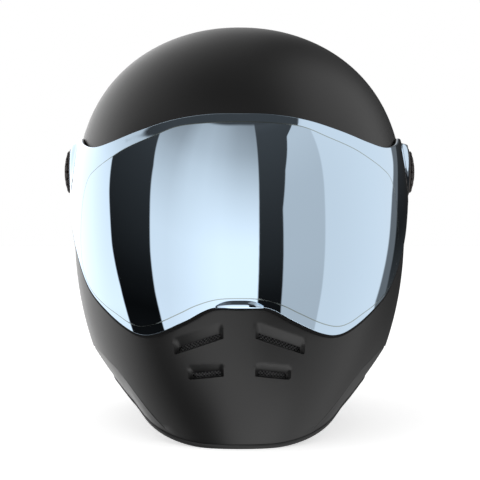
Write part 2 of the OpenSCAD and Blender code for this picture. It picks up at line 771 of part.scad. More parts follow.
// Rivet through the shell, its boss and the anchor plate
module anchor_rivet(side) color("#55585c") {
    inner_x = pad_x - edge_gap/3 - anchor_t;
    on_anchor(side, inner_x - 1.5) cylinder(h = 1.4, r = rivet_head_r, $fn = round_fn);
    on_anchor(side, inner_x - 0.5) cylinder(h = pad_x + 10.7 - inner_x, r = rivet_r, $fn = round_fn);
    on_anchor(side, pad_x + 10.2) cylinder(h = 1.5, r = rivet_head_r, $fn = round_fn);
}

// Places children in the frame of a hanging strap: origin on the plate's bar, -Z along the strap,
// +X toward the shell
module on_bar(side) {
    at_side(side) translate([bar_x, anchor_y, bar_z]) rotate([0, strap_lean, 0]) children();
}

module web_tube(r, length) {
    rotate([90, 0, 0]) difference() {
        cylinder(h = length, r = r + web_t, center = true, $fn = round_fn);
        cylinder(h = length + 2, r = r, center = true, $fn = round_fn);
    }
}

module web_run(x, top, bottom) {
    translate([x - web_t/2, -web_w/2, -bottom]) cube([web_t, web_w, bottom - top]);
}

// Short strap: a loop on the plate, a doubled run and the loop that holds the rings
module strap_short() color("#17181a") {
    ring_z = short_run + ring_loop_r + web_t;
    on_bar(1) {
        web_tube(loop_r, web_w);
        web_run(0, loop_r + 0.5*web_t, short_run + 0.5*web_t);
        translate([0, 0, -ring_z]) web_tube(ring_loop_r, web_w);
    }
}

// Long strap, folded back on itself and held by its snap
module strap_long() color("#17181a") {
    turn_r = 0.8;
    fold_x = -2*turn_r - web_t;
    snap_z = long_run - fold_run + 8;
    on_bar(-1) difference() {
        union() {
            web_tube(loop_r, web_w);
            web_run(0, loop_r + 0.5*web_t, long_run);
            web_run(fold_x, long_run - fold_run, long_run);
            translate([fold_x/2, 0, -long_run]) difference() {
                web_tube(turn_r, web_w);
                translate([-5, -web_w, 0]) cube([10, 2*web_w, 10]);
            }
        }
        translate([fold_x, 0, -snap_z]) rotate([0, 90, 0]) cylinder(h = 3, r = 2.1, center = true, $fn = 24);
    }
}

// Snap: a cap on the folded end and the stud that reaches the strap behind it
module strap_snap() color("#3b3d40") {
    turn_r = 0.8;
    fold_x = -2*turn_r - web_t;
    snap_z = long_run - fold_run + 8;
    on_bar(-1) translate([fold_x, 0, -snap_z]) rotate([0, 90, 0]) {
        translate([0, 0, -web_t/2 - 1.5]) cylinder(h = 1.4, r = 5.5, $fn = 32);
        translate([0, 0, -web_t/2 - 0.5]) cylinder(h = web_t + 1, r = 1.95, $fn = 24);
        translate([0, 0, web_t/2 + 0.1]) cylinder(h = 2*turn_r - 0.2, r = 4.5, $fn = 32);
    }
}

// Steel ring with its straight bar in the strap's loop, hanging free
module d_ring(shift) color("#b9bcc2") {
    half = web_w/2 + 3.6;
    loop_z = short_run + ring_loop_r + web_t;
    translate([
        bar_x - loop_z*sin(strap_lean) + shift*(ring_wire_r + 0.15),
        anchor_y,
        bar_z - loop_z*cos(strap_lean)
    ]) {
        rotate([90, 0, 0]) cylinder(h = 2*half, r = ring_wire_r, center = true, $fn = 24);
        rotate([0, 90, 0]) rotate([0, 0, -90]) rotate_extrude(angle = 180, $fn = round_fn)
            translate([half, 0]) circle(r = ring_wire_r, $fn = 24);
        for (k = [-1, 1]) translate([0, k*half, 0]) sphere(r = ring_wire_r, $fn = 24);
    }
}

outer_shell();
port_seal();
edge_trim();
visor_lens();
visor_bushing(1);  // visor_bushing_left
visor_bushing(-1);  // visor_bushing_right
pivot_plate(1);  // pivot_plate_left
pivot_plate(-1);  // pivot_plate_right
pivot_insert(1);  // pivot_insert_left
pivot_insert(-1);  // pivot_insert_right
plate_screws();
knob(1);  // knob_left
knob(-1);  // knob_right
knob_washer(1);  // knob_washer_left
knob_washer(-1);  // knob_washer_right
eps_liner();
chin_liner();
cheek_block(1);  // cheek_block_left
cheek_block(-1);  // cheek_block_right
crown_pad();
brow_pad();
neck_roll();
cheek_pad(1);  // cheek_pad_left
cheek_pad(-1);  // cheek_pad_right
vent_mesh(1, upper_slot);  // vent_mesh_upper_left
vent_mesh(-1, upper_slot);  // vent_mesh_upper_right
vent_mesh(1, lower_slot);  // vent_mesh_lower_left
vent_mesh(-1, lower_slot);  // vent_mesh_lower_right
anchor_plate(1);  // anchor_plate_left
anchor_plate(-1);  // anchor_plate_right
anchor_rivet(1);  // anchor_rivet_left
anchor_rivet(-1);  // anchor_rivet_right
strap_short();
strap_long();
d_ring(-1);  // d_ring_inner
d_ring(1);  // d_ring_outer
strap_snap();
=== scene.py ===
import bpy
import bmesh
import math
import numpy as np
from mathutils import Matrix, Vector
from mathutils.geometry import delaunay_2d_cdt
from mathutils.bvhtree import BVHTree
from mathutils.kdtree import KDTree


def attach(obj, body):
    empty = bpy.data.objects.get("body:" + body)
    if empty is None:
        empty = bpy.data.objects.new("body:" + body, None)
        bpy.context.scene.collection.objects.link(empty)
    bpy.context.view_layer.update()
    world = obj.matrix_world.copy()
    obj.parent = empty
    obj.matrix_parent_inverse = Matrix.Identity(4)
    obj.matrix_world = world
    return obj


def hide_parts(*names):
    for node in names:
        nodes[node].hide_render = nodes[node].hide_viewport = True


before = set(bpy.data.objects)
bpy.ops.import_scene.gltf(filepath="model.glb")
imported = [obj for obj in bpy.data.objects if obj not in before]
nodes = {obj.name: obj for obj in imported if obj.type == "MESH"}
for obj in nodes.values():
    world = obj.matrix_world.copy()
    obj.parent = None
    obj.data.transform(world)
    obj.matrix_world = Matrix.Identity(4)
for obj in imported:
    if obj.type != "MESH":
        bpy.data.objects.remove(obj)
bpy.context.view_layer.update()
print("frame loaded:", len(nodes), "nodes")

# The helmet's surface in millimetres: azimuth 0 is the face, depth is measured inward from the shell
form = {
    "shellHeight": 280, "axisY": 9.0776, "wall": 4, "planPower": 2.2,
    # reach, its height, reach at the base, two powers of the dome above it and one of the flare below
    "side": (117.5, 140, 77.5, 2.75, 2, 2.25), "face": (160, 88, 139, 1.95, 1.95, 2.2),
    "back": (150, 125, 112, 2.35, 2.35, 2.2),
    # lower edge: how far it rises at the sides, and the azimuths where it starts and stops
    "jawRise": 30, "riseFront": (8, 62), "riseBack": (105, 165),
    # crease of the jaw over the tucked panel: height over the lower edge, lift and dip
    "creaseBase": 4, "lift": 26, "liftFront": (16, 40), "dip": 6, "dipFront": (45, 75),
    "tuck": 0.28, "tuckFront": (14, 40), "tuckBack": (110, 165),
    # groove along the crease: distance under the crease and depth
    "groove": [(0, 0), (0.4, 0.6), (1.8, 0.12), (12, 0)], "grooveFront": (17, 26), "grooveBack": (135, 158),
}
visor = {
    "thickness": 2.4, "gap": 1.9, "pivotHeight": 176.5, "pivotBack": 2, "holeRadius": 13.4, "rounding": 0.45,
    # lower and upper edge: azimuth and height over the pivots
    "low": [(0, -85), (6, -85.5), (12, -94), (18, -101.5), (22.5, -104), (27, -101.5),
            (36, -90), (45, -76.5), (54, -54.5), (64, -30.5), (76, -20.5), (90, -19)],
    "top": [(0, 36), (10, 35.5), (20, 32), (30, 25.5), (40, 18.5), (48, 15.5), (58, 17.5), (71, 23), (90, 19)],
    # the fine line around the optical area: azimuth and height
    "line": [(-6, 207), (0, 207), (9, 206.3), (17.8, 204), (25, 197.5), (32.8, 190.5), (38.5, 184),
             (44, 177.5), (47.6, 172), (49.4, 163), (50.2, 148), (49.8, 128), (48.2, 113), (45, 102.5),
             (41, 95.6), (36, 89.5), (31.5, 85), (26.8, 79.8), (23, 78.2), (18.5, 81), (13.2, 87.5),
             (9.5, 92.5), (5, 96.4), (0, 97.2), (-5, 96.4)],
    "lineDepth": 0.08, "lineHalfWidth": 0.3,
    # outside the line the rim falls back: how far, over what distance, and where it fades
    "rimDrop": 0.62, "rimReach": 7, "rimSide": (60, 98), "rimLow": (-8, 12),
    # the flat ear round each pivot and the cone that rises to it
    "earRadius": 19, "earX": 118.2, "earHug": 1.3, "hugSide": (58, 72), "bossRadius": 22.0, "bossRun": 6.0,
    "foldGap": 0.22,
}
port = {"side": 60, "margin": 8, "power": 8}
vents = {
    # azimuth and height at both ends of a slot, and how far its scoop rises above it
    "upper": (4.3, 73.4, 14.3, 63.8, 8.5), "lower": (4.3, 50.0, 11.1, 47.7, 6.5),
    "halfHeight": 1.8, "scoopDepth": 2.8,
}
degreeWidth = 2.04    # millimetres of width for a degree at the temples
rollOut = 260    # radius over which heights are laid flat
pivotY, pivotZ = form["axisY"] + visor["pivotBack"], visor["pivotHeight"]


def smooth(a, b, x):
    t = np.clip((x - a) / (b - a), 0, 1)
    return t * t * (3 - 2 * t)


def mix(a, b, t):
    return a + (b - a) * t


def matched(*values):
    return np.broadcast_arrays(*(np.asarray(value, float) for value in values))


def curveThrough(line, x):
    # smooth curve through the points of a line, flat at both ends
    xs, ys = np.array(line, float).T
    x = np.clip(np.abs(np.asarray(x, float)), xs[0], xs[-1])
    i = np.clip(np.searchsorted(xs, x, side="right") - 1, 0, len(xs) - 2)
    slopes = np.zeros(len(xs))
    slopes[1:-1] = (ys[2:] - ys[:-2]) / (xs[2:] - xs[:-2])
    w = xs[i + 1] - xs[i]
    t = (x - xs[i]) / w
    bend = w * t * (1 - t) * ((1 - t) * slopes[i] - t * slopes[i + 1])
    return mix(ys[i], ys[i + 1], t * t * (3 - 2 * t)) + bend


def turn(a):
    # azimuth to either side, from 0 at the face to 180 at the back
    a = np.abs(a)
    return np.where(a > 180, 360 - a, a)


def edgeHeight(a):
    # the lower edge stands flat under the chin and the nape
    p = turn(a)
    return form["jawRise"] * np.where(p < 90, smooth(*form["riseFront"], p), 1 - smooth(*form["riseBack"], p))


def creaseHeight(a):
    p = turn(a)
    lift = form["lift"] * smooth(*form["liftFront"], p) - form["dip"] * smooth(*form["dipFront"], p)
    return edgeHeight(a) + form["creaseBase"] + lift * (1 - smooth(*form["tuckBack"], p))


def reachAt(a, z, d):
    # distance of the layer at depth d from the polar axis
    def outline(side):
        reach, height, base, p, q, flare = form[side]
        dome = (1 - np.clip((z - height) / (form["shellHeight"] - d - height), 0, 1) ** p) ** (1 / q)
        below = (np.maximum(0, height - z) / height) ** flare
        return np.maximum((reach - d) * dome - (reach - base) * below, 1e-6)

    t, n, p = np.radians(a), form["planPower"], turn(a)
    length = np.where(np.cos(t) >= 0, outline("face"), outline("back"))
    r = ((np.abs(np.sin(t)) / outline("side")) ** n + (np.abs(np.cos(t)) / length) ** n) ** (-1 / n)
    under = np.maximum(0, creaseHeight(a) - z)
    return r - form["tuck"] * under * smooth(*form["tuckFront"], p) * (1 - smooth(*form["tuckBack"], p))


def shellPoint(a, z, d):
    # place on the layer at depth d, in metres
    a, z, d = matched(a, z, d)
    r, t = reachAt(a, z, d), np.radians(a)
    return np.stack([r * np.sin(t), form["axisY"] - r * np.cos(t), z], -1) / 1000


def visorLow(a):
    return pivotZ + curveThrough(visor["low"], a)


def visorTop(a):
    return pivotZ + curveThrough(visor["top"], a)


def portEdges(a):
    # lower and upper edge of the eye port
    full = np.maximum(0, 1 - (np.abs(a) / port["side"]) ** port["power"]) ** (1 / port["power"])
    low, top = visorLow(a), visorTop(a)
    return mix((low + top) / 2, low + port["margin"], full), mix((low + top) / 2, top - port["margin"], full)


def soften(piece):
    piece.data.polygons.foreach_set("use_smooth", [True] * len(piece.data.polygons))


def sharpen(piece, angle):
    piece.data.set_sharp_from_angle(angle=math.radians(angle))


def newPiece(name, points, faces, edges=()):
    mesh = bpy.data.meshes.new(name)
    mesh.from_pydata([tuple(p) for p in points], list(edges), [tuple(int(i) for i in f) for f in faces])
    mesh.update()
    piece = bpy.data.objects.new(name, mesh)
    bpy.context.scene.collection.objects.link(piece)
    soften(piece)
    return piece


def pointsOf(piece):
    return np.array([v.co for v in piece.data.vertices])


def movePoints(piece, points):
    piece.data.vertices.foreach_set("co", points.ravel())
    piece.data.update()


def clean(piece, merge=1e-6, slivers=False, outward=True):
    # merges doubles, drops slivers and turns the faces outward
    bm = bmesh.new()
    bm.from_mesh(piece.data)
    if merge:
        bmesh.ops.remove_doubles(bm, verts=bm.verts, dist=merge)
    if slivers:
        bmesh.ops.dissolve_degenerate(bm, edges=bm.edges, dist=1e-7)
    if outward:
        bmesh.ops.recalc_face_normals(bm, faces=bm.faces)
    bm.to_mesh(piece.data)
    bm.free()


def gridFaces(n, m, wrapRows=False, wrapPoints=True):
    # faces between n rows of m points each
    return [(i * m + j, (i + 1) % n * m + j, (i + 1) % n * m + (j + 1) % m, i * m + (j + 1) % m)
            for i in range(n if wrapRows else n - 1) for j in range(m if wrapPoints else m - 1)]


def loft(name, rings, closed=False, sharpAngle=50):
    # skin over rings of equally many points, capped where they don't close
    n, m = len(rings), len(rings[0])
    faces = gridFaces(n, m, closed)
    if not closed:
        faces += [tuple(reversed(range(m))), tuple((n - 1) * m + j for j in range(m))]
    piece = newPiece(name, np.array(rings).reshape(-1, 3), faces)
    clean(piece)
    sharpen(piece, sharpAngle)
    return piece


def wrapped(name, profiles):
    # closed ring of profiles of (azimuth, height, depth) on the helmet's form
    return loft(name, shellPoint(*np.moveaxis(np.array(profiles, float), 2, 0)), closed=True)


def lathe(name, profile, place, segments=96, sharpAngle=35):
    # turned piece: place gives the point at an angle for each point of the profile
    angles = np.linspace(0, 2 * math.pi, segments, endpoint=False)
    rings = [[place(t, *corner) for corner in profile] for t in angles]
    return loft(name, rings, closed=True, sharpAngle=sharpAngle)


def joined(pieces):
    # one mesh from several pieces, under the first one's name
    bm = bmesh.new()
    for piece in pieces:
        bm.from_mesh(piece.data)
    bm.to_mesh(pieces[0].data)
    bm.free()
    for piece in pieces[1:]:
        bpy.data.objects.remove(piece)
    sharpen(pieces[0], 35)
    return pieces[0]


def settle(piece):
    # turns what the modifiers make into the piece's own plain mesh
    depsgraph = bpy.context.evaluated_depsgraph_get()
    mesh = bpy.data.meshes.new_from_object(piece.evaluated_get(depsgraph))
    piece.modifiers.clear()
    old = piece.data
    piece.data = mesh
    bpy.data.meshes.remove(old)
    mesh.name = piece.name


def layWeave(piece, u, v):
    # the cloth's own map, in metres along it, so that its threads follow the surface
    layer = piece.data.uv_layers.new(name="weave")
    corners = np.zeros(len(piece.data.loops), dtype=np.int32)
    piece.data.loops.foreach_get("vertex_index", corners)
    layer.data.foreach_set("uv", np.column_stack([u, v])[corners].ravel() / 1000)


def runAlong(line):
    # length from the start of a line to each of its points
    return np.concatenate([[0], np.cumsum(np.hypot(*(line[1:] - line[:-1]).T))])


def resample(line, step):
    # evenly spaced points along an open line
    line = np.asarray(line, float)
    length = runAlong(line)
    s = np.linspace(0, length[-1], max(2, int(round(length[-1] / step)) + 1))
    return np.stack([np.interp(s, length, line[:, k]) for k in range(2)], 1)


def throughPoints(line, steps=12):
    # smooth line through points
    p = np.asarray(line, float)
    out = []
    for i in range(1, len(p) - 2):
        a, b, c, d = p[i - 1:i + 3]
        for t in np.linspace(0, 1, steps, endpoint=False):
            out.append(0.5 * (2 * b + (c - a) * t + (2 * a - 5 * b + 4 * c - d) * t ** 2
                              + (3 * b - a - 3 * c + d) * t ** 3))
    return np.array(out + [p[-2]])


def insideLoop(points, loop):
    x, y = points[:, 0], points[:, 1]
    inside = np.zeros(len(points), bool)
    for (ax, ay), (bx, by) in zip(loop, np.roll(loop, -1, 0)):
        if ay != by:
            inside ^= ((ay > y) != (by > y)) & (x < (bx - ax) * (y - ay) / (by - ay) + ax)
    return inside


def distanceTo(points, line):
    # shortest distance from each point to an open line, in batches to save memory
    start, run = line[:-1], line[1:] - line[:-1]
    size = np.maximum((run ** 2).sum(1), 1e-12)
    best = np.full(len(points), 1e9)
    for first in range(0, len(points), 4000):
        q = points[first:first + 4000, None, :] - start[None]
        t = np.clip((q * run[None]).sum(2) / size[None], 0, 1)
        best[first:first + 4000] = np.hypot(*np.moveaxis(q - t[..., None] * run[None], 2, 0)).min(1)
    return best


def offsetLine(line, distance):
    # open line moved to its left
    along = np.gradient(line, axis=0)
    along /= np.maximum(np.hypot(*along.T)[:, None], 1e-9)
    return line + distance * np.stack([-along[:, 1], along[:, 0]], 1)


def kdTree(points):
    tree = KDTree(len(points))
    for i, p in enumerate(points):
        tree.insert(p, i)
    tree.balance()
    return tree


def triangulate(outline, holes, lines, spacing, finer=()):
    # fills an outline with even triangles that keep every given line as edges
    points, edges = [], []
    for line, closed in [(loop, 1) for loop in (outline, *holes)] + [(line, 0) for line in lines]:
        first, n = len(points), len(line)
        points.extend(map(tuple, line))
        edges.extend((first + i, first + (i + 1) % n) for i in range(n if closed else n - 1))
    tree = kdTree([(x, y, 0) for x, y in points])

    def within(p):
        inside = insideLoop(p, outline)
        for hole in holes:
            inside &= ~insideLoop(p, hole)
        return inside

    fill = []
    for low, high, step in [(outline.min(0), outline.max(0), spacing), *finer]:
        steps = np.meshgrid(*(np.arange(low[k] + step / 2, high[k], step) for k in range(2)))
        grid = np.stack(steps, -1).reshape(-1, 2)
        for inner, outer, _ in [] if fill else finer:
            grid = grid[~np.all((grid > inner) & (grid < outer), axis=1)]
        fill.append(np.column_stack([grid, np.full(len(grid), step)]))
    fill = np.concatenate(fill)
    fill = fill[within(fill[:, :2])]
    points += [(x, y) for x, y, step in fill if tree.find((x, y, 0))[2] > 0.5 * step]
    found = delaunay_2d_cdt([Vector(p) for p in points], edges, [], 0, 1e-6)
    flat = np.array([tuple(v) for v in found[0]])
    tris = np.array([f for f in found[2] if len(f) == 3])
    tris = tris[within(flat[tris].mean(1))]
    used = np.unique(tris)
    renumber = np.full(len(flat), -1)
    renumber[used] = np.arange(len(used))
    return flat[used], renumber[tris]


def bothSkins(outer, inner, tris, seam):
    # closes two skins by walls along their open edges, except on the seam, and adds the mirror image
    n = len(outer)
    faces = [tuple(t) for t in tris.tolist()] + [(n + a, n + c, n + b) for a, b, c in tris.tolist()]
    rims = {}
    for a, b, c in tris.tolist():
        for e in ((a, b), (b, c), (c, a)):
            if e[::-1] in rims:
                del rims[e[::-1]]
            else:
                rims[e] = True
    faces += [(b, a, n + a, n + b) for a, b in rims if not (seam[a] and seam[b])]
    points = np.concatenate([outer, inner])
    faces += [tuple(2 * n + i for i in reversed(f)) for f in faces]
    return np.concatenate([points, points * [-1, 1, 1]]), faces


def unrolled(a, z):
    # azimuth and height laid flat in millimetres, so that triangles come out even
    a, z = matched(a, z)
    return np.stack([a * degreeWidth, rollOut * np.arcsin(np.clip(z / form["shellHeight"], 0, 1))], -1)


def slotHeight(slot, a):
    a0, z0, a1, z1, _ = slot
    return mix(z0, z1, (a - a0) / (a1 - a0))


def ventDepth(a, z):
    # how far the scoops above the vent slots press the shell in
    depth, half = np.zeros(np.broadcast(a, z).shape), vents["halfHeight"]
    for slot in (vents["upper"], vents["lower"]):
        a0, _, a1, _, rise = slot
        up = z - (slotHeight(slot, a) - half)
        ramp = np.where(up < 2 * half, 1, 1 - (up - 2 * half) / (rise - half))
        ramp = np.where((up < -0.02) | (ramp < 0), 0, ramp)
        reach = smooth(a0 - 0.75, a0 - 0.1, a) * (1 - smooth(a1 + 0.1, a1 + 0.9, a))
        depth = np.maximum(depth, vents["scoopDepth"] * ramp * reach)
    return depth


def ventLines(slot):
    # outline of a scoop and of the slot in it
    a0, _, a1, _, rise = slot
    h = vents["halfHeight"]
    scoop = [(a0 - 0.75, -h - 0.3), (a1 + 0.9, -h - 0.3), (a1 + 0.9, rise * 0.9), (a0 - 0.75, rise)]
    hole = [(a0 + 0.1, -h), (a1 - 0.1, -h), (a1, -h * 0.5), (a1, h * 0.5), (a1 - 0.2, h), (a0 + 0.2, h),
            (a0, h * 0.5), (a0, -h * 0.5)]
    for corners in (scoop, hole):
        loop = [unrolled(a, slotHeight(slot, a) + up) for a, up in corners]
        yield np.concatenate([resample(side, 0.9)[:-1] for side in zip(loop, loop[1:] + loop[:1])])


# Grid of the shell: where its crown starts, steps along its edges and size of its triangles
shellGrid = {
    "top": 279.5, "edge": 3, "port": 1.6, "crease": 2.4, "fill": 3.1, "ventFill": 1.1,
    "ventLow": (2, 44), "ventHigh": (16, 86), "overRubber": 1.9,
}


def makeShell():
    top, wide, close = (shellGrid[key] for key in ("top", "edge", "port"))
    a = np.linspace(0, 180, 250)
    bottom = unrolled(a, edgeHeight(a) + shellGrid["overRubber"])
    portA = port["side"] * np.sin(np.linspace(0, math.pi / 2, 90))
    portLow, portHigh = (unrolled(portA, z) for z in portEdges(portA))
    behind, ahead = unrolled([180, 0], top)
    outline = np.concatenate([resample(line, step)[:-1] for line, step in (
        (bottom, wide), ((bottom[-1], behind), wide), ((behind, ahead), wide), ((ahead, portHigh[0]), wide),
        (portHigh, close), (portLow[::-1], close), ((portLow[0], bottom[0]), wide))])
    creaseA = np.linspace(15, 160, 120)
    lines = [resample(unrolled(creaseA, creaseHeight(creaseA) - drop), shellGrid["crease"])
             for drop, _ in form["groove"][:-1]]
    holes = []
    for slot in (vents["upper"], vents["lower"]):
        scoop, hole = ventLines(slot)
        holes.append(hole)
        lines.append(np.concatenate([scoop, scoop[:1]]))
    finer = (unrolled(*shellGrid["ventLow"]), unrolled(*shellGrid["ventHigh"]), shellGrid["ventFill"])
    flat, tris = triangulate(outline, holes, lines, shellGrid["fill"], [finer])
    az, z = flat[:, 0] / degreeWidth, form["shellHeight"] * np.sin(flat[:, 1] / rollOut)
    wall, high = form["wall"], form["shellHeight"]
    outer = shellPoint(az, z, ventDepth(az, z) + creaseStep(az, z))
    inner = shellPoint(az, z - wall * smooth(180, high, z), wall)
    atTop = z > top - 0.01
    points, faces = bothSkins(outer, inner, tris, (az < 1e-4) | (az > 180 - 1e-4) | atTop)
    # the crown is closed by a fan inside and outside
    n, last = len(outer), len(points)
    ring = np.where(atTop)[0]
    ring = ring[np.argsort(az[ring])]
    points = np.concatenate([points, [(0, form["axisY"] / 1000, up / 1000) for up in (high, high - wall)]])
    for a0, a1 in zip(ring[:-1], ring[1:]):
        faces += [(a0, a1, last), (last + 1, n + a1, n + a0)]
        faces += [(2 * n + a1, 2 * n + a0, last), (last + 1, 3 * n + a0, 3 * n + a1)]
    piece = newPiece("shellSkin", points, faces)
    clean(piece, 2e-6, slivers=True, outward=False)
    sharpen(piece, 38)
    markCrease(piece)
    return piece


def creaseStep(a, z):
    # depth of the groove along the crease, whose lower side slopes out again and catches the light
    reach = smooth(*form["grooveFront"], turn(a)) * (1 - smooth(*form["grooveBack"], turn(a)))
    return np.interp(creaseHeight(a) - z, *np.transpose(form["groove"])) * reach


def markCrease(piece):
    # the groove above the tucked panel stays crisp
    x, y, z = pointsOf(piece).T * 1000
    az = np.degrees(np.arctan2(np.abs(x), form["axisY"] - y))
    away = np.min([np.abs(creaseHeight(az) - z - drop) for drop, _ in form["groove"][:-1]], axis=0)
    onLine = (away < 0.03) & (az > 18) & (az < 150)
    for e in piece.data.edges:
        if onLine[e.vertices[0]] and onLine[e.vertices[1]]:
            e.use_edge_sharp = True


def lensPoint(u, z, out):
    # place on the visor, with u the unrolled width and out the distance outside the shell
    u, z, out = matched(u, z, out)
    a = np.clip(u / degreeWidth, -90, 90)
    p = shellPoint(a, z, visor["earHug"] * smooth(*visor["hugSide"], np.abs(a)) - out) * 1000
    flat = visor["earX"] + out - visor["gap"]
    away = np.hypot(np.abs(u) - 90 * degreeWidth - visor["pivotBack"], z - pivotZ)
    t = np.clip((away - visor["bossRadius"]) / visor["bossRun"], 0, 1)
    p[..., 0] = np.where(u < 0, -1, 1) * mix(np.abs(p[..., 0]), flat, 1 - mix(t, t * t * (3 - 2 * t), 0.5))
    p[..., 1] += np.abs(u) - np.abs(a) * degreeWidth
    return p / 1000


def lensOutline():
    # half of the visor's edge, unrolled: lower edge, ear and upper edge
    a, r = np.linspace(0, 90, 160), visor["earRadius"]
    back = r * np.sin(np.linspace(0, math.pi / 2, 40))
    u, half = 90 * degreeWidth + (visor["pivotBack"] + back), np.sqrt(np.maximum(0, r ** 2 - back ** 2))
    low, high = (np.column_stack([a * degreeWidth, edge(a)]) for edge in (visorLow, visorTop))
    ear = [np.column_stack([u, pivotZ - half]), np.column_stack([u, pivotZ + half])[::-1]]
    return np.concatenate([low, *ear, high[::-1]])


def makeVisor():
    half, rounding, lineHalf = visor["thickness"] / 2, visor["rounding"], visor["lineHalfWidth"]
    middle = visor["gap"] + half
    rim = resample(lensOutline(), 2)
    line = throughPoints([(a * degreeWidth, z) for a, z in visor["line"]])
    line = line[line[:, 0] > -1e-6]
    line[0, 0] = line[-1, 0] = 0
    fine = resample(line, 1.6)
    centre = np.array([90 * degreeWidth + visor["pivotBack"], pivotZ])

    def circle(radius, angles):
        return centre + radius * np.column_stack([np.cos(angles), np.sin(angles)])

    def beside(line, step):
        # a line's neighbour, with both ends kept on the visor's middle
        line = offsetLine(line, step)
        line[0, 0] = line[-1, 0] = 0
        return line

    hole = circle(visor["holeRadius"], np.linspace(0, 2 * math.pi, 72, endpoint=False))
    lines = [beside(rim, share * rounding) for share in (0.08, 0.3, 0.65, 1)]
    for fold in (0, visor["bossRun"]):
        for gap in (-visor["foldGap"], 0, visor["foldGap"]):
            arc = circle(visor["bossRadius"] + fold + gap, np.linspace(math.pi / 2, 3 * math.pi / 2, 60))
            a, z = arc[:, 0] / degreeWidth, arc[:, 1]
            lines.append(arc[(z > visorLow(a) + 0.9) & (z < visorTop(a) - 0.9) & (a < 90)])
    lines += [beside(fine, step * lineHalf) for step in (-1, 0, 1)]
    outline = np.concatenate([rim, resample((rim[-1], rim[0]), 3)[1:-1]])
    earBox = (centre - [visor["bossRadius"] + visor["bossRun"] + 2, 24], centre + [22, 26], 0.95)
    flat, tris = triangulate(outline, [hole], lines, 2.6, [earBox])
    fineClosed = np.concatenate([fine, [(-5, fine[-1, 1]), (-5, fine[0, 1])]])

    def outward(p):
        # distance outside the shell, on the outer face, without its rounded edge
        beyond = ~insideLoop(p, fineClosed)
        fall = visor["rimDrop"] * (1 - np.exp(-distanceTo(p, fine) / visor["rimReach"])) * beyond
        return middle + half - fall * ((1 - smooth(*visor["rimSide"], p[:, 0]))
                                       * smooth(*visor["rimLow"], p[:, 1] - pivotZ))

    rimAway, lineAway = distanceTo(flat, rim), distanceTo(flat, fine)
    turned = 1 - np.minimum(1, rimAway / rounding)
    rounded = half * (1 - np.sqrt(np.maximum(0, 1 - turned ** 2)))
    groove = visor["lineDepth"] * np.clip(1 - lineAway / lineHalf, 0, 1)
    outer = lensPoint(*flat.T, outward(flat) - rounded - groove)
    inner = lensPoint(*flat.T, middle - half + rounded)
    across, up = (np.subtract(*(lensPoint(*q.T, outward(q)) for q in (flat + step, flat - step)))
                  for step in ([0.12, 0], [0, 0.12]))
    normal = np.cross(across, up)
    normal /= np.linalg.norm(normal, axis=1)[:, None]
    bossAway = np.hypot(*(flat - centre).T) - visor["bossRadius"]
    plain = np.minimum(np.abs(bossAway), np.abs(bossAway - visor["bossRun"])) > 0.9 * visor["foldGap"]
    exact = np.tile(plain & (rimAway > rounding * 0.98) & (lineAway > lineHalf * 0.9), 2)
    piece = newPiece("visorMirror", *bothSkins(outer, inner, tris, flat[:, 0] < 1e-4))
    clean(piece, 1e-5, slivers=True, outward=False)
    # exact normals keep the reflections free of ripples
    mesh, mirror = piece.data, np.array([-1, 1, 1])
    tree = kdTree(np.concatenate([outer, outer * mirror]))
    normal = np.concatenate([normal, normal * mirror])
    normal[np.tile(flat[:, 0] < 1e-4, 2), 0] = 0
    normals = []
    for v in mesh.vertices:
        _, i, gap = tree.find(v.co)
        normals.append(tuple(normal[i]) if gap < 2e-5 and exact[i] else (0, 0, 0))
    # the fine line and the inside get their own finish
    onLine = outer[tris[distanceTo(flat[tris].mean(1), fine) < lineHalf]].mean(1)
    marked = np.concatenate([onLine, inner[tris].mean(1)])
    tree = kdTree(np.concatenate([marked, marked * mirror]))
    for face in mesh.polygons:
        _, i, gap = tree.find(face.center)
        if gap < 3e-5:
            face.material_index = 1 if i % len(marked) < len(onLine) else 2
    mesh.normals_split_custom_set_from_vertices(normals)
    return piece


# Black bead under the visor's lower edge, filling the gap to the shell; its black is partly painted shade for the
# shadow in that gap: height and half depth, with what is left of each at the ears
bead = {"tall": 1.8, "half": 1.3, "earTall": 0.35, "earHalf": 0.55, "from": -84, "to": 84}


def makeBead():
    middle = visor["gap"] + visor["thickness"] / 2 - 0.2
    step, rings = 0.4, []
    for a in np.linspace(bead["from"], bead["to"], 260):
        slope = (visorLow(a + step) - visorLow(a - step)) / (2 * step * degreeWidth)
        down = np.array([slope, -1]) / math.hypot(1, slope)
        tall = bead["tall"] * mix(1, bead["earTall"], smooth(52, 80, abs(a)))
        half = bead["half"] * mix(1, bead["earHalf"], smooth(60, 84, abs(a)))
        profile = ((-0.3, -half), (-0.3, half), (0.3 * tall, half), (0.8 * tall, 0.75 * half), (tall, 0),
                   (0.8 * tall, -0.75 * half), (0.3 * tall, -half))
        edge = np.array([a * degreeWidth, float(visorLow(a))])
        rings.append([lensPoint(*(edge + w * down), middle + d) for w, d in profile])
    return loft("visorBead", rings)


# Finger tab: a small awning that slopes out from the visor and rolls over into a lip
tab = {
    "halfAngle": 5.15, "rise": 0.87,
    # height over the visor's lower edge and reach out of it
    "profile": [(5.3, -0.3), (5.1, 0.1), (4.5, 0.55), (3.9, 1.15), (3.3, 1.75), (2.9, 2.15), (2.5, 2.45),
                (2.2, 2.6), (1.7, 2.68), (1.1, 2.66), (0.5, 2.6), (0.0, 2.45), (-0.25, 2.1), (-0.3, 1.4),
                (-0.3, -1.4), (2.5, -1.4)],
}


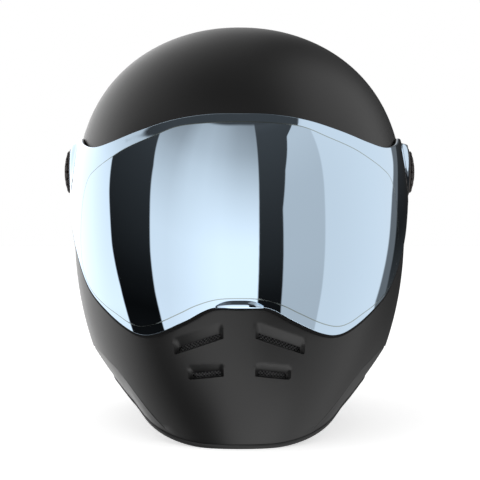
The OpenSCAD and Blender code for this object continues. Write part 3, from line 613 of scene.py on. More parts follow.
def makeTab():
    rings = []
    for s in np.sin(np.linspace(-math.pi / 2, math.pi / 2, 81)):
        body = 1 - abs(s) ** 3.2
        up, reach = np.array(tab["profile"]).T
        up = np.where(up > 0, tab["rise"] * up * mix(0.25, 1, body), up)
        reach = np.where(reach > 0, reach * mix(0.12, 1, body ** 0.7), reach)
        outside = -visor["gap"] - visor["thickness"] - reach
        rings.append(shellPoint(s * tab["halfAngle"], visorLow(0) + up, outside))
    return loft("fingerTab", rings, sharpAngle=60)


# Rubber profiles: height over the shell's edge, or distance out of the port, and depth
rubber = {
    "edge": [(0.0, -0.6), (0.0, 5.4), (0.5, 5.8), (5.9, 5.75), (6.5, 5.3), (6.5, 4.7), (1.5, 4.6), (1.5, -0.1),
             (2.9, -0.1), (2.9, -0.25), (2.5, -0.6), (1.7, -0.9), (0.8, -1.0), (0.25, -0.9)],
    "port": [(-0.9, -0.4), (-0.9, 5.2), (3.6, 5.2), (4, 5.8), (3.6, 6.3), (-2.0, 6.4), (-2.1, 5.8),
             (-2.1, -0.6), (-1.7, -1.2), (3.2, -1.2), (4, -0.9), (4, -0.4)],
}


def makeEdgeTrim():
    return wrapped("rubberEdge", [[(a, float(edgeHeight(a)) + up, d) for up, d in rubber["edge"]]
                                  for a in np.linspace(-180, 180, 240, endpoint=False)])


def makePortSeal():
    lowA = -port["side"] * np.cos(np.linspace(0, math.pi, 120, endpoint=False))
    line = np.concatenate([np.column_stack([a * degreeWidth, portEdges(a)[k]]) for k, a in enumerate((lowA, -lowA))])
    line = resample(np.concatenate([line, line[:1]]), 3)[:-1]
    along = np.roll(line, -1, 0) - np.roll(line, 1, 0)
    along /= np.hypot(*along.T)[:, None]
    return wrapped("portRubber", [[((x + w * up) / degreeWidth, z - w * across, d) for w, d in rubber["port"]]
                                  for (x, z), (across, up) in zip(line, along)])


def onPivot(side, flutes=0):
    # places a turned piece on a pivot: angle, radius, distance from the helmet's middle, depth of the flutes
    def place(t, r, x, cut=0):
        r = r - cut * max(0, math.cos(flutes * t)) ** 3
        return side * x / 1000, (pivotY + r * math.cos(t)) / 1000, (pivotZ + r * math.sin(t)) / 1000
    return place


# Bushing in the visor's ear: turned profiles of its collar and of the bright ring round it
dish = {
    "collar": [(6.06, 117.6), (13, 117.6), (13, 120.82), (16.6, 120.85), (16.6, 121.75), (15.9, 121.9),
               (14, 121.75), (8.6, 121.7), (8.2, 121.95), (7.9, 121.75), (6.06, 121.7)],
    "ring": [(16.0, 120.7), (17.7, 120.7), (17.9, 120.85), (17.85, 121.2), (17.5, 121.8), (17.1, 122.15),
             (16.8, 122.2), (16.4, 122.15), (16.2, 122.0), (16.0, 121.8)],
}
knob = {
    # radius, distance from the middle of the helmet, and how deep the flutes cut there
    "profile": [(2.2, 122.5, 0), (13.6, 122.5, 1.2), (14.6, 122.6, 1.6), (15, 122.95, 1.8), (15, 123.8, 1.8),
                (14.5, 124.2, 1.5), (11.9, 124.25, 0.4), (11.5, 124.4, 0.6), (11.4, 124.95, 0.6),
                (10.9, 125.25, 0.5), (8.0, 125.3), (7.6, 125.45), (7.5, 125.75), (7.1, 126.0), (5.6, 126.0)],
    "flutes": 18, "faceX": 126.0, "faceRadius": 5.6, "slotHalf": (4.5, 0.9), "slotDepth": 0.9,
    "screwRadius": 2.45, "threadDepth": 0.28, "pitch": 0.8, "screwRun": (107.0, 123.0),
}


def makeKnob(side, tag):
    # fluted thumb screw: body, slotted face and threaded shank in one mesh
    body = lathe("thumbScrew" + tag, knob["profile"], onPivot(side, knob["flutes"]), 240)
    t = np.linspace(0, 2 * math.pi, 48, endpoint=False)
    slot = np.array([(-1, -1), (1, -1), (1, 1), (-1, 1)]) * knob["slotHalf"]
    flat, tris = triangulate(knob["faceRadius"] * np.column_stack([np.cos(t), np.sin(t)]), [slot], [], 1.6)
    face, n = knob["faceX"], len(flat)
    points = [(side * x, pivotY + y, pivotZ + z) for x, loop in (
        (face, flat), (face, slot), (face - knob["slotDepth"], slot)) for y, z in loop]
    walls = [(n + i, n + (i + 1) % 4, n + 4 + (i + 1) % 4, n + 4 + i) for i in range(4)]
    cap = newPiece("knobFace" + tag, np.array(points) / 1000, [*tris, *walls, (n + 4, n + 5, n + 6, n + 7)])
    clean(cap)
    place, pitch = onPivot(side), knob["pitch"]

    def thread(x, a):
        cut = 0.5 - 0.5 * math.cos(2 * math.pi * x / pitch - a)
        return place(a, knob["screwRadius"] - knob["threadDepth"] * cut, x)

    angles = np.linspace(0, 2 * math.pi, 20, endpoint=False)
    rings = [[thread(x, a) for a in angles] for x in np.arange(*knob["screwRun"], pitch / 5)]
    return joined([body, cap, loft("shank" + tag, rings, sharpAngle=60)])


# Pads: range in azimuth, depth of the back, thickness, lower edge over the shell's and upper edge
pads = {
    "cheek": {"from": 53, "to": 84, "back": 18.4, "thick": 22.0, "least": 4.0, "voxel": 4.5, "swell": 2.2,
              "low": 12.5, "high": 115.0},
    "neck": {"from": 132, "to": 228, "back": 5.0, "thick": 24.0, "least": 5.0, "voxel": 5.5, "swell": 2.5,
             "low": 10.5, "high": 61.0},
    "brow": {"from": -46, "to": 46, "back": 32.4, "thick": 8.0, "least": 2.0, "voxel": 2.6, "swell": 0.8,
             "reach": 120.0, "tall": 13, "gap": 2},
}
clothSettings = {
    "use_pressure": True, "uniform_pressure_force": 4, "quality": 4, "tension_stiffness": 12,
    "compression_stiffness": 12, "bending_stiffness": 0.4,
}
# seams, as shares of a pad's half width: ring round the face, and cross seams of the neck roll
seams = {"ring": 0.86, "halfWidth": 0.03, "depth": 0.9, "cross": (-0.42, 0, 0.42), "stitchIn": 0.055}


def browHeight(ahead):
    low = pivotZ + mix(visor["top"][5][1], visor["top"][0][1], smooth(0.625, 1.04, ahead / pads["brow"]["reach"]))
    return low - port["margin"] + 5


def padEdges(kind, a):
    spec = pads[kind]
    if kind != "brow":
        return edgeHeight(a) + spec["low"], np.full(np.shape(a), spec["high"])
    reach = reachAt(0.0, browHeight(0.75 * spec["reach"]), spec["back"]) * np.cos(np.radians(a))
    low = browHeight(reach) + spec["gap"]
    return low, low + spec["tall"] * (1 - 0.6 * (np.asarray(a) / spec["to"]) ** 2)


def padPlace(kind, u, v, depth):
    # place on a pad, with u and v from -1 to 1 across it
    spec = pads[kind]
    a = mix(spec["from"], spec["to"], (u + 1) / 2)
    low, high = padEdges(kind, a)
    return shellPoint(a, mix(low, high, (v + 1) / 2), depth)


def makePad(kind, name, side=1):
    # closed cushion with drawn-in edges, inflated as cloth, then sewn
    spec, m, inset = pads[kind], 26, 0.97
    us, vs = (np.sin(np.linspace(-math.pi / 2, math.pi / 2, count)) * inset for count in (2 * m, m))
    u, v = np.meshgrid(us, vs, indexing="ij")
    u = u * mix(0.93, 1, (1 - np.abs(v) ** 8) ** 0.125)
    full = np.sqrt(np.maximum(0, (1 - np.abs(u) ** 4) * (1 - np.abs(v) ** 4)))
    face = spec["back"] + spec["least"] + (spec["thick"] - spec["least"] - spec["swell"]) * full
    top = padPlace(kind, u, v, face).reshape(-1, 3)
    base = padPlace(kind, u, v, np.full(u.shape, spec["back"] + 0.3)).reshape(-1, 3)
    n, faces = len(top), []
    for q in gridFaces(2 * m, m, wrapPoints=False):
        faces += [q, tuple(n + k for k in reversed(q))]
    loop = [i * m for i in range(2 * m)] + [(2 * m - 1) * m + j for j in range(1, m)]
    loop += [i * m + m - 1 for i in range(2 * m - 2, -1, -1)] + list(range(m - 2, 0, -1))
    faces += [(a, b, n + b, n + a) for a, b in zip(loop, loop[1:] + loop[:1])]
    piece = newPiece(name, np.concatenate([top, base]) * [side, 1, 1], faces)
    clean(piece)
    inflate(piece, spec)
    sew(piece, kind, side)
    return piece


def inflate(piece, spec):
    # cloth under pressure, with each point's travel capped
    remesh = piece.modifiers.new("even", "REMESH")
    remesh.mode = "VOXEL"
    remesh.voxel_size = spec["voxel"] / 1000
    settle(piece)
    start = pointsOf(piece)
    cloth = piece.modifiers.new("swell", "CLOTH").settings
    for name, value in clothSettings.items():
        setattr(cloth, name, value)
    cloth.effector_weights.gravity = 0
    for frameNumber in range(1, 21):
        bpy.context.scene.frame_set(frameNumber)
    settle(piece)
    bpy.context.scene.frame_set(1)
    move = pointsOf(piece) - start
    length = np.linalg.norm(move, axis=1)[:, None]
    movePoints(piece, start + move * np.minimum(1, spec["swell"] / 1000 / np.maximum(length, 1e-9)))
    for _ in range(2):
        finer = piece.modifiers.new("finer", "SUBSURF")
        finer.levels = finer.render_levels = 1
        settle(piece)
    soften(piece)


def depthOf(x, y, z):
    # azimuth of points, in millimetres, and how deep they lie under the shell's surface
    a, r = np.degrees(np.arctan2(x, form["axisY"] - y)), np.hypot(x, y - form["axisY"])
    low, high = np.zeros(len(x)), np.full(len(x), 90.0)
    for _ in range(26):
        middle = (low + high) / 2
        inside = reachAt(a, z, middle) > r
        low, high = np.where(inside, middle, low), np.where(inside, high, middle)
    return a, low


def sew(piece, kind, side):
    # keeps the pad between its foam and its greatest height, and draws the seams in
    spec = pads[kind]
    x, y, z = pointsOf(piece).T * 1000
    a, depth = depthOf(x * side, y, z)
    if kind == "neck":
        a = np.where(a < 0, a + 360, a)
    depth = np.clip(depth, spec["back"] + 0.15, spec["back"] + spec["thick"] + 1.2)
    low, high = padEdges(kind, a)
    u = (a - spec["from"]) / (spec["to"] - spec["from"]) * 2 - 1
    v = (z - low) / (high - low) * 2 - 1
    facing = smooth(0.35, 0.7, (depth - spec["back"]) / (spec["least"] + 2))
    ring = np.maximum(np.abs(u), np.abs(v))
    drawn = np.exp(-((ring - seams["ring"]) / seams["halfWidth"]) ** 2)
    inner = []
    if kind == "cheek":
        inner = [0.8 * np.exp(-((u * 0.35 + v - 0.1) / 0.05) ** 2)]
    if kind == "neck":
        inner = [0.9 * np.exp(-((u - cross) / 0.018) ** 2) for cross in seams["cross"]]
    for seam in inner:
        drawn = np.maximum(drawn, seam * (ring < seams["ring"]))
    depth = depth - seams["depth"] * drawn * facing * min(1, spec["thick"] / 12)
    movePoints(piece, shellPoint(a, z, depth) * [side, 1, 1])
    layWeave(piece, a * degreeWidth * 0.85, z + 0.8 * depth)


# Crown lining: quilted, with channels that run together at the crown and one seam across them
quilt = {
    "columns": 240, "rows": 46, "reach": 0.985, "least": 1.6, "full": 6.2, "foot": (-0.06, 0.16),
    "channels": 8, "channelDepth": 0.62, "channelPower": 20,
    "crossAt": 0.52, "crossHalf": 0.02, "crossDepth": 0.5, "side": (24, 80), "sideDrop": (64, 108),
    "seamTop": 247, "seamAside": 2.0, "seamRun": (0.06, 0.8),
}


def crownLow(a):
    # lower edge of the crown lining, over the brow pad and down to the ears
    a, edge = np.abs(a), pads["brow"]["to"]
    front = padEdges("brow", np.minimum(a, 90))[1] + 2.4 - 2 * np.maximum(0, a - edge)
    fall = mix(*quilt["sideDrop"], smooth(*quilt["side"], a))
    return np.maximum(np.where(a < 90, front, 0), form["shellHeight"] - fall)


def makeCrownPad():
    n, rows, back, top = quilt["columns"], quilt["rows"], pads["brow"]["back"], form["shellHeight"]
    a = np.linspace(-180, 180, n, endpoint=False)
    low, rings = crownLow(a), []
    for inside in (False, True):
        for s in np.arange(rows) / (rows - 1) * quilt["reach"]:
            z = np.minimum(low + (top - back - low) * math.sin(s * math.pi / 2) ** 0.9, top - back - 0.05)
            channel = np.abs(np.cos(np.radians(quilt["channels"] / 2 * a + 180))) ** quilt["channelPower"]
            lobe = 1 - quilt["channelDepth"] * channel * (1 - s ** 3)
            cross = 1 - quilt["crossDepth"] * np.exp(-((s - quilt["crossAt"]) / quilt["crossHalf"]) ** 2)
            thick = quilt["least"] + quilt["full"] * lobe * cross * smooth(*quilt["foot"], s)
            depth = back + thick if inside else back
            rings.append(shellPoint(a, np.minimum(z, top - depth - 0.02) if inside else z, depth))
    points, face = np.concatenate(rings), rows * n
    side = [(i, l, k, j) for i, j, k, l in gridFaces(rows, n)]
    faces = side + [tuple(face + i for i in reversed(q)) for q in side]
    around = [(i, (i + 1) % n) for i in range(n)]
    faces += [(i, face + i, face + k, k) for i, k in around]
    middles = [points[end - n:end, 2].mean() for end in (face, 2 * face)]
    faces += [(face - n + i, face - n + k, 2 * face) for i, k in around]
    faces += [(2 * face - n + k, 2 * face - n + i, 2 * face + 1) for i, k in around]
    points = np.concatenate([points, [(0, form["axisY"] / 1000, z) for z in middles]])
    piece = newPiece("crownQuilt", points, faces)
    clean(piece)
    # the map runs out from the crown in every direction, true to length
    x, y, z = pointsOf(piece).T * 1000
    ahead = y - form["axisY"]
    flat = np.maximum(np.hypot(x, ahead), 1e-3)
    run = np.hypot(flat, z.max() - z)
    layWeave(piece, x / flat * run, ahead / flat * run)
    return piece


# Chin strap: webbing folded through its plate, in a frame of its own at the plate's bar
strap = {
    "halfWidth": 11.0, "thick": 1.4, "barX": 100.919, "barY": 21.0776, "barZ": 72.5, "lean": 30, "roundness": 0.45,
    "loop": 2.6, "ringLoop": 4.6, "ringCentre": -51.3, "longRun": 62.0, "foldX": -3.0, "foldTop": -14.0,
    "backX": -1.45, "face": 0.72, "snapZ": -22.0,
    # ends of the sewn boxes along the strap: both faces of the short one, inner and folded face of the long one
    "shortBoxes": [(-7.5, -17.5), (-30, -42)], "longBoxes": [(-6.5, -11.5), (-34, -50)],
}


def strapPlace(side, q):
    # from the strap's own frame, x toward the shell and z along the strap, to the helmet's
    x, y, z = np.moveaxis(np.asarray(q, float), -1, 0)
    c, s = math.cos(math.radians(strap["lean"])), math.sin(math.radians(strap["lean"]))
    return np.stack([side * (strap["barX"] + (x * c + z * s)), strap["barY"] + y,
                     strap["barZ"] + (-x * s + z * c)], -1) / 1000


def arc(cx, cz, r, a0, a1, steps=22):
    return [(cx + r * math.cos(a), cz + r * math.sin(a)) for a in np.radians(np.linspace(a0, a1, steps))]


def webbing(name, side, path):
    # band with rolled edges along a path in the strap's plane, with its own map for the weave
    line = resample(np.array(path), 0.8)
    across = offsetLine(line, 1) - line
    half, t, edge = strap["halfWidth"], strap["thick"] / 2, strap["roundness"]
    rolled = [(half - 0.12, t * 0.62), (half, 0), (half - 0.12, -t * 0.62)]
    widths = np.linspace(-half + edge, half - edge, 13)
    section = [(w, t) for w in widths] + rolled + [(w, -t) for w in -widths] + [(-w, -h) for w, h in rolled]
    length, m = runAlong(line), len(section)
    rings = []
    for i, (x, z) in enumerate(line):
        # the band narrows a little at both tips
        narrow = 1 - 0.1 * (1 - smooth(0, 2.5, min(length[i], length[-1] - length[i])))
        rings.append([(x + h * across[i, 0], w * narrow, z + h * across[i, 1]) for w, h in section])
    n = len(rings)
    ends = [tuple(reversed(range(m))), tuple((n - 1) * m + j for j in range(m))]
    piece = newPiece(name, strapPlace(side, rings).reshape(-1, 3), gridFaces(n, m) + ends)
    layWeave(piece, np.tile([w for w, _ in section], n), np.repeat(length, m))
    clean(piece, merge=None)
    return piece


def overBar(low, count):
    # sewn end behind the bar, the loop over it and the start of the run
    start = [(strap["backX"], z) for z in np.linspace(low, -6, count)]
    return start + arc(0, 0, strap["loop"], 205, -25) + [(0.15, -6.5), (0, -9)]


def shortPath():
    c, r = strap["ringCentre"], strap["ringLoop"]
    end = [(strap["backX"], z) for z in np.linspace(c + r + 2.4, -28, 12)]
    return overBar(-19, 12) + [(0, -25), (0, -40), (0.3, c + r + 2.2)] + arc(0, c, r, 62, -245, 40) + end


def longPath():
    low, x = -strap["longRun"], strap["foldX"]
    end = [(x, low + 0.5), (x, low + 3), (x, -40), (x, strap["foldTop"])]
    return overBar(-12.3, 8) + [(0, -30), (0, low + 3), (0, low + 0.5)] + arc(x / 2, low, -x / 2, 0, -180) + end


# Snap on the folded end of the long strap: radius and height of its cap and socket
snap = {
    "cap": [(0.01, 1.75), (2.2, 1.7), (3.9, 1.4), (5.0, 0.85), (5.5, 0.3), (5.45, 0.02), (4.8, 0.0), (0.01, 0.0)],
    "socket": [(1.2, 0.1), (4.3, 0.1), (4.5, 0.35), (4.4, 1.0), (3.4, 1.35), (2.6, 1.3), (2.1, 0.9), (1.9, 1.4),
               (1.2, 1.4)],
}


def makeSnap():
    pieces = []
    for name, start, out in (("cap", strap["foldX"] - 0.72, -1), ("socket", strap["foldX"] + 0.7, 1)):
        def place(t, r, h):
            return strapPlace(-1, (start + out * h, r * math.cos(t), strap["snapZ"] + r * math.sin(t)))
        pieces.append(lathe("snap" + name, snap[name], place, 48, 40))
    made = joined(pieces)
    made.name = made.data.name = "strapSnap"
    return made


rivet = {
    "height": 92.0, "back": 21.0776, "shankFrom": -3, "headFrom": -0.3,
    "profile": [(0.01, 1.7), (1.6, 1.6), (3.1, 1.25), (4.2, 0.7), (4.8, 0.1), (4.8, -0.25), (2.45, -0.3),
                (2.45, -15.6), (3.9, -15.7), (3.9, -16.2), (3.2, -16.9), (1.6, -17.3), (0.01, -17.35)],
}


def makeRivet(side, tag):
    # domed head on the shell, shank through the boss and the strap plate
    x, z = form["side"][0], rivet["height"]
    for _ in range(12):
        a = math.degrees(math.atan2(x, form["axisY"] - rivet["back"]))
        x = shellPoint(a, z, 0)[0] * 1000
    foot = shellPoint(a, z, 0)
    along = shellPoint(a + 0.5, z, 0) - shellPoint(a - 0.5, z, 0)
    normal = np.cross(along, shellPoint(a, z + 1, 0) - shellPoint(a, z - 1, 0))
    normal /= np.linalg.norm(normal)

    def place(t, r, h):
        # the head follows the shell, the shank runs straight across to its plate
        axis = mix(np.array([1, 0, 0]), normal, smooth(rivet["shankFrom"], rivet["headFrom"], h))
        axis /= np.linalg.norm(axis)
        level = np.cross([0, 1, 0], axis)
        level /= np.linalg.norm(level)
        spoke = math.cos(t) * level + math.sin(t) * np.cross(axis, level)
        return (foot + (h * axis + r * spoke) / 1000) * [side, 1, 1]
    return lathe("strapRivet" + tag, rivet["profile"], place, 48)


def connect(tree, made, inputs):
    # inputs by name or number: joined to a socket, or set to a value
    for name, value in inputs.items():
        if isinstance(value, bpy.types.NodeSocket):
            tree.links.new(value, made.inputs[name])
        else:
            made.inputs[name].default_value = value


def node(tree, kind, inputs={}, **settings):
    # a new node with its settings and inputs, of which the outputs are given back
    made = tree.nodes.new(kind)
    for name, value in settings.items():
        setattr(made, name, value)
    connect(tree, made, inputs)
    return made.outputs


def calc(tree, operation, *terms):
    return node(tree, "ShaderNodeMath", dict(enumerate(terms)), operation=operation)[0]


def mixed(tree, factor, a, b, colour=False):
    # between two numbers, or two colours, by a factor
    first = 6 if colour else 2
    kind = "RGBA" if colour else "FLOAT"
    return node(tree, "ShaderNodeMix", {"Factor": factor, first: a, first + 1: b}, data_type=kind)[first // 3]


def newGroup(name, kind, inputs, outputs):
    # an empty node group with named inputs and outputs, what its inputs give and its end node
    tree = bpy.data.node_groups.new(name, kind)
    for way, sockets in (("INPUT", inputs), ("OUTPUT", outputs)):
        for label, socket in sockets.items():
            tree.interface.new_socket(label, in_out=way, socket_type="NodeSocket" + socket)
    return tree, tree.nodes.new("NodeGroupInput").outputs, tree.nodes.new("NodeGroupOutput")


def geometryGroup(name, inputs):
    return newGroup(name, "GeometryNodeTree", {"Geometry": "Geometry", **inputs}, {"Geometry": "Geometry"})


def grown(name, points, edges, tree, values):
    # a piece that a tree grows on points and edges, kept as a plain mesh
    piece = newPiece(name, points, [], edges)
    modifier = piece.modifiers.new(tree.name, "NODES")
    modifier.node_group = tree
    for item in tree.interface.items_tree:
        if item.in_out == "INPUT" and item.name in values:
            modifier[item.identifier] = values[item.name]
    settle(piece)
    soften(piece)
    return piece


def buildStitchTree():
    # a short fat thread at even steps along every line, turned to lie along it
    tree, given, result = geometryGroup("sewnThread", {
        "Step": "Float", "Length": "Float", "Radius": "Float", "Thread": "Material"})
    curve = node(tree, "GeometryNodeMeshToCurve", {0: given["Geometry"]})[0]
    spaced = node(tree, "GeometryNodeResampleCurve", {"Curve": curve, "Length": given["Step"]}, mode="LENGTH")[0]
    end = node(tree, "ShaderNodeCombineXYZ", {"Z": calc(tree, "MULTIPLY", given["Length"], 0.5)})[0]
    start = node(tree, "ShaderNodeVectorMath", {0: end, "Scale": -1}, operation="SCALE")[0]
    line = node(tree, "GeometryNodeCurvePrimitiveLine", {"Start": start, "End": end})[0]
    line = node(tree, "GeometryNodeResampleCurve", {"Curve": line, "Count": 5})[0]
    belly = tree.nodes.new("ShaderNodeFloatCurve")
    shape = belly.mapping.curves[0]
    shape.points[0].location, shape.points[1].location = (0, 0.35), (1, 0.35)
    shape.points.new(0.5, 1)
    belly.mapping.update()
    connect(tree, belly, {"Value": node(tree, "GeometryNodeSplineParameter")["Factor"]})
    ring = node(tree, "GeometryNodeCurvePrimitiveCircle", {"Resolution": 6, "Radius": given["Radius"]})[0]
    thread = node(tree, "GeometryNodeCurveToMesh", {
        "Curve": line, "Profile Curve": ring, "Scale": belly.outputs[0], "Fill Caps": True})[0]
    tangent = node(tree, "GeometryNodeInputTangent")[0]
    turned = node(tree, "FunctionNodeAlignRotationToVector", {"Vector": tangent}, axis="Z")[0]
    placed = node(tree, "GeometryNodeInstanceOnPoints", {"Points": spaced, "Instance": thread, "Rotation": turned})[0]
    real = node(tree, "GeometryNodeRealizeInstances", {0: placed})[0]
    connect(tree, result, {
        0: node(tree, "GeometryNodeSetMaterial", {"Geometry": real, "Material": given["Thread"]})[0]})
    return tree


# Stitches: step, length and radius, in millimetres
threads = {"pad": (3.2, 2.3, 0.26), "strap": (2.6, 1.9, 0.3)}


def stitched(name, lines, kind, body, node, slot):
    # stitches along polylines given in metres, placed on what they sew
    points, edges = [], []
    for line in lines:
        edges.extend((len(points) + i, len(points) + i + 1) for i in range(len(line) - 1))
        points.extend(tuple(p) for p in line)
    values = dict(zip(("Step", "Length", "Radius"), (size / 1000 for size in threads[kind])))
    piece = grown(name, points, edges, stitchTree, {**values, "Thread": finish["sewingThread"]})
    place(piece, "sewingThread", body, node, slot)


def hitsOn(piece, rays):
    # points where rays, from a start toward an end, first meet a piece
    surface = BVHTree.FromObject(piece, bpy.context.evaluated_depsgraph_get())
    hits = (surface.ray_cast(Vector(start), Vector(end - start).normalized())[0] for start, end in rays)
    return [tuple(hit) for hit in hits if hit]


def padSeam(piece, kind, side):
    # closed line on a pad's face, a little inside its drawn-in seam, and the neck's cross seams
    spec = pads[kind]

    def onPad(us, vs):
        ends = [[padPlace(kind, u, v, depth) * [side, 1, 1] for depth in (spec["back"] + spec["thick"] + 6, spec["back"])]
                for u, v in zip(us, vs)]
        return hitsOn(piece, ends)

    t = np.linspace(0, 2 * math.pi, 241)
    c, s = np.cos(t), np.sin(t)
    k = (seams["ring"] - seams["stitchIn"]) / (np.abs(c) ** 10 + np.abs(s) ** 10) ** 0.1
    lines = [onPad(k * c, k * s)]
    for cross in seams["cross"] if kind == "neck" else ():
        lines += [onPad([cross + shift] * 30, np.linspace(-0.74, 0.74, 30)) for shift in (-0.035, 0.035)]
    return lines


def crownSeams(piece):
    # a row of stitches beside each of the quilt's channels
    lines = []
    for k in range(quilt["channels"]):
        rays = []
        for s in np.linspace(*quilt["seamRun"], 60):
            a = 360 / quilt["channels"] * k + quilt["seamAside"] / (1 - 0.75 * s)
            low = float(crownLow(a if a <= 180 else a - 360))
            z = low + (quilt["seamTop"] - low) * math.sin(s * math.pi / 2) ** 0.9
            rays.append((np.array([0, form["axisY"] / 1000, z / 1000 - 0.05]), shellPoint(a, z, 30)))
        lines.append(hitsOn(piece, rays))
    return lines


def boxStitch(side, x, top, low):
    # box with a cross, sewn on a face of the webbing
    w = strap["halfWidth"] - 3
    corners = np.array([(x, -w, top), (x, w, top), (x, w, low), (x, -w, low)])
    t = np.linspace(0.02, 0.98, 12)[:, None]
    return [strapPlace(side, mix(corners[a], corners[b], t))
            for a, b in ((0, 1), (1, 2), (2, 3), (3, 0), (0, 2), (1, 3))]


def buildWeaveTree():
    # flat patch of two sets of wavy strands that cross at right angles
    tree, given, result = geometryGroup("wovenPatch", {
        "Reach": "Float", "Spacing": "Float", "Strand": "Float", "Count": "Int", "Wire": "Material"})
    step, count = given["Spacing"], given["Count"]

    def times(a, b):
        return calc(tree, "MULTIPLY", a, b)

    def vector(axis, value):
        return node(tree, "ShaderNodeCombineXYZ", {axis: value})[0]

    join = tree.nodes.new("GeometryNodeJoinGeometry")
    for phase, angle in ((0.0, 45), (math.pi, 135)):
        row = node(tree, "GeometryNodeMeshLine", {
            "Count": count, "Start Location": vector("Y", times(times(step, count), -0.5)),
            "Offset": vector("Y", step)})[0]
        line = node(tree, "GeometryNodeCurvePrimitiveLine", {
            "Start": vector("X", times(given["Reach"], -0.5)), "End": vector("X", times(given["Reach"], 0.5))})[0]
        line = node(tree, "GeometryNodeResampleCurve", {"Curve": line, "Length": times(step, 0.5)}, mode="LENGTH")[0]
        laid = node(tree, "GeometryNodeInstanceOnPoints", {"Points": row, "Instance": line})[0]
        laid = node(tree, "GeometryNodeRealizeInstances", {0: laid})[0]
        x, y, _ = node(tree, "ShaderNodeSeparateXYZ", {0: node(tree, "GeometryNodeInputPosition")[0]})
        along, side = (times(calc(tree, "DIVIDE", axis, step), math.pi) for axis in (x, y))
        wave = calc(tree, "SINE", calc(tree, "ADD", calc(tree, "ADD", along, side), phase))
        lift = vector("Z", times(wave, times(given["Strand"], 0.9)))
        laid = node(tree, "GeometryNodeSetPosition", {"Geometry": laid, "Offset": lift})[0]
        ring = node(tree, "GeometryNodeCurvePrimitiveCircle", {"Resolution": 5, "Radius": given["Strand"]})[0]
        wire = node(tree, "GeometryNodeCurveToMesh", {"Curve": laid, "Profile Curve": ring})[0]
        turned = node(tree, "GeometryNodeTransform", {"Geometry": wire, "Rotation": (0, 0, math.radians(angle))})[0]
        connect(tree, join, {0: turned})
    connect(tree, result, {
        0: node(tree, "GeometryNodeSetMaterial", {"Geometry": join.outputs[0], "Material": given["Wire"]})[0]})
    return tree


# Vent mesh: depth in the shell, margin round the slot, step and radius of the strands
ventMesh = {"depth": 5.7, "margin": 2.6, "endMargin": 0.8, "spacing": 1.5, "strand": 0.15, "degreeWidth": 2.72}


def makeVentMesh(slot, side, name):
    # woven mesh cut to the slot and laid on the shell's curve behind it
    a0, _, a1, _, _ = slot
    length = (a1 - a0 + 2 * ventMesh["endMargin"]) * ventMesh["degreeWidth"]
    tall = 2 * (vents["halfHeight"] + ventMesh["margin"])
    reach, spacing = math.hypot(length, tall) + 2, ventMesh["spacing"]
    piece = grown(name, [(0, 0, 0)], [], weaveTree, {
        "Reach": reach / 1000, "Spacing": spacing / 1000, "Strand": ventMesh["strand"] / 1000,
        "Count": int(reach / spacing) + 1, "Wire": finish["meshWire"]})
    bm = bmesh.new()
    bm.from_mesh(piece.data)
    for axis, limit in ((0, length / 2), (1, tall / 2)):
        for sign in (-1, 1):
            out = np.eye(3)[axis] * sign
            cut = bmesh.ops.bisect_plane(bm, geom=bm.verts[:] + bm.edges[:] + bm.faces[:],
                                         plane_co=out * limit / 1000, plane_no=out, clear_outer=True)
            rim = [e for e in cut["geom_cut"] if isinstance(e, bmesh.types.BMEdge)]
            bmesh.ops.holes_fill(bm, edges=rim, sides=8)
    bm.to_mesh(piece.data)
    bm.free()
    x, y, z = pointsOf(piece).T * 1000
    a = (a0 + a1) / 2 + x / ventMesh["degreeWidth"]
    movePoints(piece, shellPoint(a, slotHeight(slot, a) + y, ventMesh["depth"] - z) * [side, 1, 1])
    soften(piece)
    if side < 0:
        piece.data.flip_normals()
    return piece


# Materials
smoothFinishes = {
    # colour, metallic and roughness
    "mirrorCoat": ((0.6, 0.75, 0.9), 1, 0.02), "rimLine": ((0.36, 0.42, 0.42), 1, 0.18),
    "tintedInside": ((0.012, 0.015, 0.02), 0, 0.12),
}
grainedFinishes = {
    # two tones, range of roughness, scale and depth of the grain, metallic and specular level
    "matteBlackPaint": ((0.005766, 0.005766, 0.005952), (0.006634, 0.006634, 0.006848), (0.35, 0.45), 1400, 0.1, 0, 0.5),
    "softRubber": ((0.009, 0.009, 0.0095), (0.015, 0.015, 0.0155), (0.48, 0.66), 1900, 0.25, 0, 0.5),
    # painted shade in part: the bead's near-black with low specular stands in for the shadow in the gap under the
    # visor's edge
    "rubberAndGapShade": ((0.0018, 0.0018, 0.002), (0.003, 0.003, 0.0032), (0.7, 0.85), 1900, 0.2, 0, 0.2),
    "knobPlastic": ((0.016, 0.012, 0.011), (0.034, 0.026, 0.023), (0.38, 0.55), 2600, 0.3, 0, 0.5),
    "hardPlastic": ((0.012, 0.0125, 0.014), (0.02, 0.0205, 0.022), (0.35, 0.5), 2200, 0.25, 0, 0.5),
    "meshWire": ((0.14, 0.14, 0.143), (0.24, 0.24, 0.245), (0.25, 0.4), 3000, 0.2, 0, 0.5),
    "sewingThread": ((0.02, 0.02, 0.021), (0.05, 0.05, 0.053), (0.55, 0.8), 6000, 0.5, 0, 0.5),
    "brushedSteel": ((0.42, 0.43, 0.45), (0.55, 0.56, 0.58), (0.24, 0.38), 1600, 0.12, 1, 0.5),
    "brassInsert": ((0.5, 0.36, 0.14), (0.66, 0.49, 0.22), (0.28, 0.42), 1600, 0.12, 1, 0.5),
    "blackenedSteel": ((0.035, 0.037, 0.04), (0.09, 0.095, 0.1), (0.32, 0.5), 1800, 0.12, 1, 0.5),
}
wovenFinishes = {
    # two tones, range of roughness, threads, depth of the weave and sheen
    "padCloth": ((0.012, 0.012, 0.013), (0.055, 0.056, 0.061), (0.8, 0.95), 3600, 0.55, 0.25),
    "webCloth": ((0.005, 0.005, 0.0055), (0.028, 0.028, 0.03), (0.5, 0.7), 3800, 0.8, 0.1),
}
foam = {"dark": (0.05, 0.05, 0.053, 1), "light": (0.07, 0.07, 0.074, 1), "cells": 330, "rim": 0.12, "roughness": 0.78}


